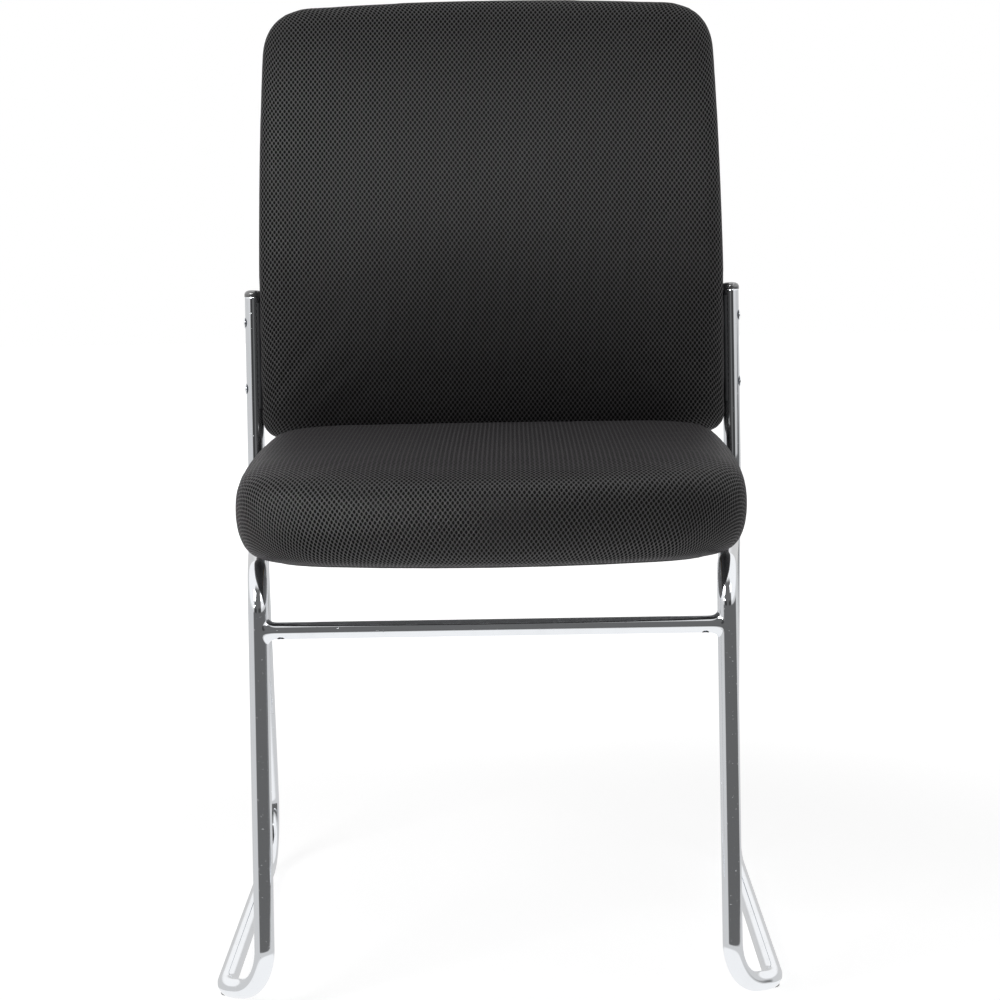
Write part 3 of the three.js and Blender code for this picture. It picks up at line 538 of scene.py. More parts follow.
@node_group({"Vector": None, "Scale": 30.0})
def polish_marks(board: Board, given: Sequence[Socket]) -> dict[str, Socket]:
    """Faint wiping marks, fine hairlines and pits on a polished surface."""
    place = given["Vector"]
    wiped = board.noise(board.stretched(place, 1.0, 1.0, 0.22), given["Scale"], 4.0)
    return {
        "Cloud": board.ramp(wiped, 0.45, 0.8),
        "Hairline": board.noise(board.stretched(place, 1.0, 1.0, 0.02), 2400.0, 2.0),
        "Pits": board.ramp(board.noise(place, 420.0, 1.0), 0.73, 0.78),
        "Wave": board.noise(place, 26.0, 2.0),
    }


@node_group({"Vector": None, "Scale": 14.0, "Amount": 0.1})
def settled_dust(board: Board, given: Sequence[Socket]) -> dict[str, Socket]:
    """Dust that lies on faces that look up, in patches."""
    upward = board.ramp(board.parts(board.out("ShaderNodeNewGeometry", which="Normal"))[2], 0.25, 0.95)
    patches = board.ramp(board.noise(given["Vector"], given["Scale"], 6.0, 0.65), 0.4, 0.75)
    specks = board.ramp(board.noise(given["Vector"], 900.0, 1.0), 0.66, 0.74)
    lying = board.times(upward, board.plus(board.times(patches, 0.7), specks))
    return {"Dust": board.times(lying, given["Amount"], clamp=True)}


@node_group({"Vector": None, "Scale": 1100.0})
def moulded_grain(board: Board, given: Sequence[Socket]) -> dict[str, Socket]:
    """The fine leathery grain of a mould's etched face."""
    place, scale = given["Vector"], given["Scale"]
    cells = board.out("ShaderNodeTexVoronoi", {"Vector": place, "Scale": scale}, feature="SMOOTH_F1")
    fine = board.noise(place, board.times(scale, 2.6), 2.0)
    height = board.plus(board.times(cells, 0.8), board.times(fine, 0.4))
    return {"Height": height, "Tone": board.noise(place, 9.0, 3.0)}


def grey(value: float, blue: float = 1.0, green: float = 1.0) -> Colour:
    """A near neutral colour."""
    return (value, value * green, value * blue, 1.0)


WHITE = grey(1.0)


# Finishes


@dataclass(frozen=True)
class Finish:
    """A finish that makes its own material once."""

    name: str
    slot: str = ""

    def material(self) -> bpy.types.Material:
        """The finish's material, made when it is first wanted."""
        known = bpy.data.materials.get(self.name)
        if known:
            return known
        made = bpy.data.materials.new(self.name)
        board = Board.of(made)
        shader = board.add("ShaderNodeBsdfPrincipled")
        board.fill(shader, self.dress(board, board.out("ShaderNodeTexCoord", which="Object")))
        board.add("ShaderNodeOutputMaterial", {"Surface": shader.outputs[0]})
        return made

    def dress(self, board: Board, place: Socket) -> dict:
        """Writes the finish.

        Args:
            board: the material's board.
            place: the object's own coordinates, in metres.
        Returns:
            What the shader's inputs are joined or set to.
        """
        raise NotImplementedError


@dataclass(frozen=True)
class BrightChrome(Finish):
    """Polished chrome plate on tube."""

    tone: Colour = (0.9, 0.92, 0.95, 1.0)
    worn: Colour = (0.9 * 0.94, 0.92 * 0.94, 0.95 * 0.94, 1.0)
    roughness: float = 0.03

    def dress(self, board: Board, place: Socket) -> dict:
        """Writes the finish."""
        marks = board.group(polish_marks(), {"Vector": place, "Scale": 24.0})
        dust = board.dust(place, 0.12)
        clean = board.mix(marks["Cloud"], self.tone, self.worn)
        rough = board.plus(self.roughness, board.times(marks["Cloud"], 0.045))
        rough = board.plus(rough, board.times(marks["Hairline"], 0.03))
        wavy = board.bump(marks["Wave"], 0.02, 0.004)
        return {
            "Metallic": 1.0,
            "Base Color": board.mix(dust, clean, grey(0.42, 0.95)),
            "Roughness": board.plus(rough, board.times(dust, 0.5), clamp=True),
            "Normal": board.bump(board.times(marks["Pits"], -1.0), 0.25, 0.0002, Normal=wavy),
        }


@dataclass(frozen=True)
class ZincPlate(Finish):
    """Bright zinc plate on small steel fittings."""

    def dress(self, board: Board, place: Socket) -> dict:
        """Writes the finish."""
        spangle = board.out("ShaderNodeTexVoronoi", {"Vector": place, "Scale": 900.0}, 1)
        cloud = board.noise(place, 120.0, 4.0)
        tone = board.mix(cloud, (0.42, 0.44, 0.47, 1.0), (0.63, 0.64, 0.62, 1.0))
        return {
            "Metallic": 1.0,
            "Base Color": board.mix(0.12, tone, spangle),
            "Roughness": board.ramp(cloud, 0.3, 0.7, 0.24, 0.46),
            "Normal": board.bump(board.noise(place, 1500.0, 2.0), 0.2, 0.0002),
        }


@dataclass(frozen=True)
class GrainedBlack(Finish):
    """A black face with a fine grain: stoving enamel, or plastic from an etched mould."""

    dark: Colour = grey(0.012)
    light: Colour = grey(0.022, 1.05)
    grain: float = 700.0
    relief: float = 0.18
    bump_depth: float = 0.0002
    rough: tuple[float, float] = (0.32, 0.48)
    dust: tuple[float, float] = (0.16, 0.16)  # how much lies on it and how light it is
    coat: tuple[float, float, float] = (0.15, 0.03, 1.5)  # its weight, roughness and index

    def dress(self, board: Board, place: Socket) -> dict:
        """Writes the finish."""
        grain = board.group(moulded_grain(), {"Vector": place, "Scale": self.grain})
        amount, shade = self.dust
        colour = board.mix(grain["Tone"], self.dark, self.light)
        made = {
            "Base Color": board.mix(board.dust(place, amount), colour, grey(shade, 0.93)),
            "Roughness": board.ramp(grain["Tone"], 0.2, 0.8, *self.rough),
            "Normal": board.bump(grain["Height"], self.relief, self.bump_depth),
        }
        return made | dict(zip(("Coat Weight", "Coat Roughness", "Coat IOR"), self.coat))


def moulded(name: str, base: float, grain: float, relief: float, **settings) -> GrainedBlack:
    """Black plastic with an etched grain.

    Args:
        name: the material's name.
        base: how dark the plastic is.
        grain: how fine its grain is.
        relief: how deep the grain looks.
        settings: other fields of the finish.
    Returns:
        The finish.
    """
    plain = {"rough": (0.42, 0.58), "coat": (0.0, 0.1, 2.4)} | settings
    dark, light = grey(base, 1.04), grey(base * 1.5, 1.02)
    return GrainedBlack(name, "black_plastic", dark, light, grain, relief, 0.0003, dust=(0.2, 0.2), **plain)


@dataclass(frozen=True)
class SpacerMesh(Finish):
    """Black spacer mesh over foam, its pattern carried by the piece's own UV map in metres. Its colour holds
    painted shade in and towards the holes, painted highlight where the strands cross, and a painted sheen at
    grazing angles.
    """

    cell_width: float = 4.76
    cell_height: float = 6.1
    strand: float = 0.032
    # painted shade: the near-black colour of the mesh holes, whose recesses lie in shade
    hole: float = 0.0035
    # painted sheen: the colour the cloth is given at grazing angles
    grazing_sheen: float = 0.085
    shine: float = 0.62
    gloss_spread: float = 0.42

    def dress(self, board: Board, place: Socket) -> dict:
        """Writes the finish."""
        cloth = board.out("ShaderNodeUVMap", uv_map=CLOTH_MAP)
        sizes = {
            "Cell Width": self.cell_width * MM,
            "Cell Height": self.cell_height * MM,
            "Hole Width": self.cell_width * 0.56 * MM,
            "Hole Height": self.cell_height * 0.58 * MM,
        }
        weave = board.group(spacer_weave(), {"Vector": cloth} | sizes)
        # low and high: painted shade along each strand towards the holes and painted highlight where strands
        # cross; the twill and fibre noise in Strand are the yarn's own tone.
        low, high, shade = (grey(self.strand * share, green=0.95) for share in (0.5, 1.0, 0.6))
        strand = board.mix(board.ramp(weave["Strand"], 0.2, 1.4), low, high)
        tone = board.mix(board.ramp(board.noise(place, 16.0, 3.0), 0.3, 0.7, 0.0, 0.22), strand, shade)
        # Painted sheen: towards grazing angles the colour turns lighter, in stripes along the ribs that paint
        # their shade; fibres mixes the yarn's tone and dust into this painted sheen.
        facing = board.out("ShaderNodeLayerWeight", {"Blend": 0.5}, "Facing")
        grazing_sheen = board.ramp(facing, 0.4, 0.85)
        wave = board.math("SINE", board.times(board.parts(cloth)[0], math.tau / (self.cell_width * MM)))
        faint, strong = (grey(self.grazing_sheen * share, green=0.96) for share in (0.6, 1.4))
        painted_rib_sheen = board.mix(board.ramp(wave, -1.0, 1.0), faint, strong)
        fibres = board.mix(grazing_sheen, board.mix(board.dust(place, 0.04), tone, grey(0.2, 0.95)), painted_rib_sheen)
        # Painted shade in the holes, fading to half at grazing angles.
        painted_hole_shade = board.times(weave["Hole"], board.ramp(grazing_sheen, 0.0, 1.0, 1.0, 0.5))
        sheen = board.ramp(facing, 0.3, 0.8, self.shine, self.shine * 0.1)
        return {
            "Base Color": board.mix(painted_hole_shade, fibres, grey(self.hole)),
            "Specular IOR Level": board.times(sheen, board.ramp(weave["Hole"], 0.0, 0.85, 1.0, 0.05)),
            "Roughness": self.gloss_spread,
            "Normal": board.bump(weave["Height"], 0.35, 0.0009),
        }


@dataclass(frozen=True)
class Plywood(Finish):
    """Bare plywood, its plies along the edge."""

    def dress(self, board: Board, place: Socket) -> dict:
        """Writes the finish."""
        grain = board.noise(board.stretched(place, 1.0, 0.06, 1.0), 260.0, 5.0, 0.6)
        plies = board.math("SINE", board.times(board.parts(place)[2], 4200.0))
        colour = board.mix(grain, (0.5, 0.31, 0.15, 1.0), (0.72, 0.5, 0.28, 1.0))
        return {
            "Base Color": board.mix(board.ramp(plies, -0.2, 0.6, 0.0, 0.25), colour, (0.33, 0.19, 0.09, 1.0)),
            "Roughness": board.ramp(grain, 0.2, 0.8, 0.62, 0.82),
            "Normal": board.bump(grain, 0.3, 0.0003),
        }


@dataclass(frozen=True)
class DustCloth(Finish):
    """Black nonwoven cloth with rows of bonding points."""

    def dress(self, board: Board, place: Socket) -> dict:
        """Writes the finish."""
        sizes = {"Cell Width": 0.0026, "Cell Height": 0.0018, "Hole Width": 0.0009, "Hole Height": 0.0007}
        points = board.group(spacer_weave(), {"Vector": place} | sizes)["Hole"]
        fibres = board.noise(board.stretched(place, 1.0, 0.3, 1.0), 1400.0, 5.0, 0.7)
        height = board.math("SUBTRACT", fibres, board.times(points, 0.8))
        return {
            "Base Color": board.mix(points, board.mix(fibres, grey(0.03), grey(0.11, 1.03)), grey(0.14)),
            "Roughness": board.ramp(points, 0.0, 1.0, 0.93, 0.6),
            "Normal": board.bump(height, 0.7, 0.0003),
            "Sheen Weight": 0.1,
        }


class Finishes:
    """The chair's finishes, by what they are put on."""

    chrome = BrightChrome("bright_chrome", "chrome")
    zinc = ZincPlate("zinc_plate", "zinc")
    enamel = GrainedBlack("black_enamel", "black_steel")
    shell = moulded("shell_plastic", 0.017, 620.0, 0.55)
    cap = moulded("cap_plastic", 0.04, 1300.0, 0.12, rough=(0.25, 0.36), coat=(1.0, 0.1, 2.4))
    cloth = SpacerMesh("black_spacer_mesh", "spacer_mesh")
    plywood = Plywood("plywood")
    underside = DustCloth("black_nonwoven")


# The tube frame


@dataclass(frozen=True)
class TubeSizes:
    """Sizes of the bent side frames, as in the part's own source."""

    diameter: float = 18.0
    knee_span: float = 416.0
    foot_splay: float = 2.6
    foot_rake: float = 20.0
    rail_span: float = 506.0
    base_depth: float = 458.0
    hip_setback: float = 416.0
    hip_height: float = 440.0
    post_length: float = 188.0
    post_lean: float = 6.0
    knee_radius: float = 36.0
    foot_radius: float = 46.0
    instep_radius: float = 46.0
    heel_radius: float = 60.0
    hip_radius: float = 120.0
    foot_drop: float = 13.0
    foot_reach: float = 48.0
    glide_height: float = 3.0
    seat_underside: float = 409.6
    clearance: float = 0.3

    @property
    def radius(self) -> float:
        """The tube's outer radius."""
        return self.diameter / 2

    @property
    def rail_z(self) -> float:
        """Height of the floor rails' centre lines."""
        return self.glide_height + self.radius

    @property
    def seat_rail_z(self) -> float:
        """Height of the seat rails' centre lines."""
        return self.seat_underside - self.clearance - self.radius

    def leg_point(self, side: float, drop: float) -> np.ndarray:
        """A point of a front leg's centre line, a drop below the knee's corner."""
        run = self.seat_rail_z - self.rail_z - self.foot_drop
        x = side * (self.knee_span / 2 + self.foot_splay * drop / run)
        return vec(x, -self.foot_rake * drop / run, self.seat_rail_z - drop)

    def rail_point(self, side: float, y: float, height: float) -> np.ndarray:
        """A point in the upright plane of a floor rail, its rear leg and its post."""
        return vec(side * self.rail_span / 2, y, height)

    def rear_leg_point(self, side: float, height: float) -> np.ndarray:
        """A point of a rear leg's centre line at a height."""
        slope = (self.base_depth - self.hip_setback) / (self.hip_height - self.rail_z)
        return self.rail_point(side, self.base_depth - (height - self.rail_z) * slope, height)

    def lean(self, points: np.ndarray) -> np.ndarray:
        """Points of the back's own frame, which starts between the hips, turned to the chair's."""
        points = np.asarray(points, float)
        c, s = math.cos(math.radians(-self.post_lean)), math.sin(math.radians(-self.post_lean))
        placed = points.copy()
        placed[..., 1] = self.hip_setback + c * points[..., 1] - s * points[..., 2]
        placed[..., 2] = self.hip_height + s * points[..., 1] + c * points[..., 2]
        return placed

    def post_point(self, side: float, up: float) -> np.ndarray:
        """A point of a post's centre line, so far up from the hip."""
        return self.lean(self.rail_point(side, 0.0, up))


TUBE = TubeSizes()


@dataclass
class SideFrames:
    """Two chromed tubes, each bent in one piece from the seat rail to the open end of the post."""

    socket_radius: float = 7.3
    socket_depth: float = 18.0
    lip: float = 0.5  # the rounded edge of the post's open end
    weld: WeldFillet = WeldFillet(TUBE.radius, TUBE.radius, 5.5, 12.2)

    def line(self, side: float) -> BentLine:
        """The centre line of one side, from the weld on the rear leg to the post's end."""
        t = TUBE
        knee, leg = t.leg_point(side, 0.0), t.rear_leg_point(side, t.seat_rail_z)
        corners = [
            leg + unit(knee - leg) * (t.radius + self.weld.reach),
            knee,
            vec(side * (t.knee_span / 2 + t.foot_splay), -t.foot_rake, t.rail_z + t.foot_drop),
            t.rail_point(side, t.foot_reach - t.foot_rake, t.rail_z),
            t.rail_point(side, t.base_depth, t.rail_z),
            t.rail_point(side, t.hip_setback, t.hip_height),
            t.post_point(side, t.post_length),
        ]
        return BentLine(corners, [t.knee_radius, t.foot_radius, t.instep_radius, t.heel_radius, t.hip_radius])

    def build(self) -> None:
        """Builds and dresses both side frames."""
        t, lip = TUBE, self.lip
        for name, side in SIDES.items():
            line = self.line(side)
            rings = line.rings(t.radius, TUBE_SIDES)[:-1]
            end, way = line.points[-1], line.tangents[-1]
            normal = unit(rings[-1][0] - line.points[-2])
            mouth = [(t.radius, lip + 1.2), (t.radius, lip), (t.radius - lip * 0.3, lip * 0.3)]
            mouth += [(t.radius - lip, 0.0), (self.socket_radius, 0.0)]
            mouth += [(self.socket_radius, self.socket_depth)]
            rings += [ring(end - way * back, way, normal, r, TUBE_SIDES) for r, back in mouth]
            shape = Shape(rings)
            leg = t.rear_leg_point(side, t.seat_rail_z)
            along = unit(t.leg_point(side, 0.0) - leg)
            axis = unit(t.rear_leg_point(side, t.hip_height) - leg)
            shape.add_rings(self.weld.rings(leg, axis, along, unit(np.cross(along, axis))), closed=False)
            finish_piece(shape.stand(f"bent_side_frame_{name}"), Finishes.chrome, [f"side_frame_{name}"], 40)


@dataclass
class Crossbars:
    """Two chromed bars between the legs, their welds rounded into the tube."""

    diameter: float = 15.0
    front_drop: float = 49.0
    rear_drop: float = 33.0
    vent_diameter: float = 6.4
    vent_depth: float = 5.0
    vent_inset: float = 20.0
    vent_turn: float = 28.0
    weld: WeldFillet = WeldFillet(TUBE.radius, 7.5, 9.0, 13.0, 14)

    def build(self) -> None:
        """Builds and dresses both crossbars."""
        t, sides = TUBE, SIDES.values()
        front = [t.leg_point(side, self.front_drop) for side in sides]
        slope = [unit(t.leg_point(side, 0.0) - t.leg_point(side, 100.0)) for side in sides]
        bar = self.bar("front_crossbar", front, slope)
        for leg, side in zip(front, sides):
            cut_with(bar, self.vent(leg, side))
        finish_piece(bar, Finishes.chrome, ["front_crossbar"], 35)
        height = t.seat_rail_z - self.rear_drop
        rear = [t.rear_leg_point(side, height) for side in sides]
        lean = [unit(t.rear_leg_point(side, height + 100.0) - leg) for side, leg in zip(sides, rear)]
        finish_piece(self.bar("rear_crossbar", rear, lean), Finishes.chrome, ["rear_crossbar"], 35)

    def bar(self, name: str, legs: list[np.ndarray], axes: list[np.ndarray]) -> bpy.types.Object:
        """One bar from the left leg to the right one.

        Args:
            name: the CAD node it stands for.
            legs: where its axis meets each leg's.
            axes: each leg's direction, upward.
        Returns:
            The bar's object.
        """
        left = self.weld.rings(legs[0], axes[0], RIGHT, BACKWARD)
        right = self.weld.rings(legs[1], axes[1], -RIGHT, BACKWARD)
        support = RIGHT * 1.5
        rings = left[::-1] + [left[0] + support, right[0] - support] + right
        return Shape([r[::-1] for r in rings]).stand(f"welded_{name}")

    def vent(self, leg: np.ndarray, side: float) -> bpy.types.Object:
        """The tool that drills the vent hole near one leg."""
        turn = math.radians(self.vent_turn)
        radius = self.vent_diameter / 2
        rows = [(radius, self.diameter / 2 - self.vent_depth), (radius, self.diameter)]
        outward = vec(0.0, -math.sin(turn), -math.cos(turn))
        return Shape(turned(rows, leg - RIGHT * side * self.vent_inset, outward, 24)).stand("vent_drill")


@dataclass
class EndFittings:
    """The domed caps in the posts and the glides under the floor rails."""

    cap_overhang: float = 0.5
    cap_rim: float = 2.6
    cap_dome: float = 5.0
    cap_edge: float = 0.4
    stem_radius: float = 7.0
    stem_length: float = 16.0
    glide_radius: float = 6.5
    glide_round: float = 1.2
    glide_top: float = TUBE.rail_z - 4.5
    rail_fit: float = TUBE.radius + 0.05
    rear_inset: float = 78.0

    def build(self) -> None:
        """Builds and dresses the caps and the glides."""
        for name, side in SIDES.items():
            self.build_cap(name, side)
            for row, y in {"front": GLIDE_SETBACK, "rear": TUBE.base_depth - self.rear_inset}.items():
                self.build_glide(f"{row}_{name}", TUBE.rail_point(side, y, 0.0))

    def build_cap(self, name: str, side: float) -> None:
        """Builds one cap: stem, rolled rim and dome."""
        rim, low = TUBE.radius + self.cap_overhang, TUBE.clearance
        rows = [(0.0, -self.stem_length), (self.stem_radius, -self.stem_length), (self.stem_radius, low)]
        rows += [(rim - self.cap_edge, low)] + rounded_edge(rim, low, self.cap_edge, 4)
        for k in range(17):
            turn = math.pi / 2 * k / 16
            rows.append((rim * math.cos(turn) ** 0.5, self.cap_rim + self.cap_dome * math.sin(turn)))
        end = TUBE.post_point(side, TUBE.post_length)
        cap = Shape(turned(rows, end, end - TUBE.post_point(side, 0.0), 48)).stand(f"domed_cap_{name}")
        finish_piece(cap, Finishes.cap, [f"post_cap_{name}"], 50)

    def build_glide(self, name: str, foot: np.ndarray) -> None:
        """Builds one glide on the floor, its pad cupped to the rail."""
        radius, soft = self.glide_radius, self.glide_round
        rows = [(0.0, 0.0), (radius - soft, 0.0)] + rounded_edge(radius, 0.0, soft, 5)
        rows += [(radius, self.glide_top), (0.0, self.glide_top)]
        glide = Shape(turned(rows, foot, UP, 40)).stand(f"rail_glide_{name}")
        reach = BACKWARD * (radius + 4.0)
        rail = [(self.rail_fit, 0.0), (self.rail_fit, 2 * reach[1])]
        cut_with(glide, Shape(turned(rail, foot + UP * TUBE.rail_z - reach, reach, 64)).stand("rail_tool"))
        finish_piece(glide, Finishes.cap, [f"glide_{name}"], 50)


# Padded forms


@dataclass(frozen=True)
class PaddedOutline:
    """A rounded four-sided outline with bowed edges, its near edge at v = 0."""

    near_half: float
    far_half: float
    length: float
    near_corner: float
    far_corner: float
    near_bow: float
    far_bow: float
    side_bow: float

    @property
    def middle(self) -> np.ndarray:
        """The outline's middle."""
        return vec(0.0, self.length / 2)

    def points(self, steps: int) -> np.ndarray:
        """The outline's points, leftmost near corner first, turning left.

        Args:
            steps: points on each of the eight curves.
        Returns:
            An array of (u, v).
        """
        near_aim = vec(0.0, -2 * self.near_bow)
        far_aim = vec(0.0, self.length + 2 * self.far_bow)
        near = vec(self.near_half - self.near_corner, 0.0)
        side_low = vec(self.near_half, self.near_corner)
        side_high = vec(self.far_half, self.length - self.far_corner)
        far = vec(self.far_half - self.far_corner, self.length)
        side_aim = vec((self.near_half + self.far_half) / 2 + 2 * self.side_bow, self.length / 2)
        near_control = self.crossing(near, near - near_aim, side_low, side_aim - side_low)
        far_control = self.crossing(far, far - far_aim, side_high, side_aim - side_high)
        flip = vec(-1.0, 1.0)
        right = [(near, near_control, side_low), (side_low, side_aim, side_high)]
        right += [(side_high, far_control, far)]
        left = [tuple(point * flip for point in curve[::-1]) for curve in right[::-1]]
        curves = [(near * flip, near_aim, near), *right, (far, far_aim, far * flip), *left]
        return np.array([quadratic(*curve, k / steps) for curve in curves for k in range(steps)])

    def scaled(self, steps: int, share: float) -> np.ndarray:
        """The outline's points, drawn to its middle by a share."""
        return (self.points(steps) - self.middle) * share + self.middle

    @staticmethod
    def crossing(p: np.ndarray, along: np.ndarray, q: np.ndarray, other: np.ndarray) -> np.ndarray:
        """Where two plane lines, each a point and a direction, cross."""
        gap = q - p
        share = (gap[0] * other[1] - gap[1] * other[0]) / (along[0] * other[1] - along[1] * other[0])
        return p + along * share


def eased_rows(rows: Rows, scale: tuple[float, float], spacing: float) -> list[tuple[float, float]]:
    """Section rows filled in on a smooth curve through the given ones.

    Args:
        rows: (share, height) pairs.
        scale: what a share and a height are worth in millimetres.
        spacing: the longest step between two new rows, in millimetres.
    Returns:
        The new rows, the given ones among them.
    """

    def span(a: np.ndarray, b: np.ndarray) -> float:
        return float(np.linalg.norm((b - a) * np.array(scale)))

    rows = np.array(rows, float)
    padded = np.vstack([2 * rows[0] - rows[1], rows, 2 * rows[-1] - rows[-2]])
    found: list[tuple[float, float]] = []
    for p0, p1, p2, p3 in zip(padded, padded[1:], padded[2:], padded[3:]):
        steps = max(1, math.ceil(span(p1, p2) / spacing))
        k0, k1, k2 = (span(a, b) ** 0.5 + 1e-9 for a, b in ((p0, p1), (p1, p2), (p2, p3)))
        m1 = (p2 - p1) + k1 * ((p1 - p0) / k0 - (p2 - p0) / (k0 + k1))
        m2 = (p2 - p1) + k1 * ((p3 - p2) / k2 - (p3 - p1) / (k1 + k2))
        for t in (k / steps for k in range(steps)):
            point = (2 * t**3 - 3 * t**2 + 1) * p1 + (t**3 - 2 * t**2 + t) * m1
            point = point + (-2 * t**3 + 3 * t**2) * p2 + (t**3 - t**2) * m2
            found.append((float(point[0]), float(point[1])))
    return found + [(float(rows[-1][0]), float(rows[-1][1]))]


@dataclass
class Loft:
    """A closed padded body through rings of an outline, with its cloth laid out flat over it."""

    outline: PaddedOutline
    rows: Rows
    place: Callable[[np.ndarray, np.ndarray, float, float], np.ndarray]
    cloth_share: float  # the ring that the cloth is laid flat inside, and drawn straight down outside
    steps: int = 22

    def build(self) -> tuple[np.ndarray, Faces, np.ndarray]:
        """Makes the body.

        Returns:
            Points in the chair's frame, faces, and each point's place on the flat cloth, in millimetres.
        """
        flat, middle = self.outline.points(self.steps), self.outline.middle
        along = np.roll(flat, -1, 0) - np.roll(flat, 1, 0)
        outward = np.stack([along[:, 1], -along[:, 0]], 1)
        outward /= np.linalg.norm(outward, axis=1)[:, None]
        cloth = [(flat - middle) * share + middle for share, _ in self.rows]
        rings = [self.place(*laid.T, height, share) for laid, (share, height) in zip(cloth, self.rows)]
        top = max(i for i, (share, _) in enumerate(self.rows) if share >= self.cloth_share)
        run = np.zeros(len(flat))
        for i in range(top - 1, -1, -1):
            run = run + np.linalg.norm(rings[i] - rings[i + 1], axis=1)
            cloth[i] = cloth[top] + outward * run[:, None]
        ends = [self.place(*middle.reshape(2, 1), self.rows[i][1], 0.0) for i in (0, -1)]
        points = np.concatenate(rings + ends)
        return points, skin(len(rings), len(flat)), np.vstack(cloth + [middle, middle])


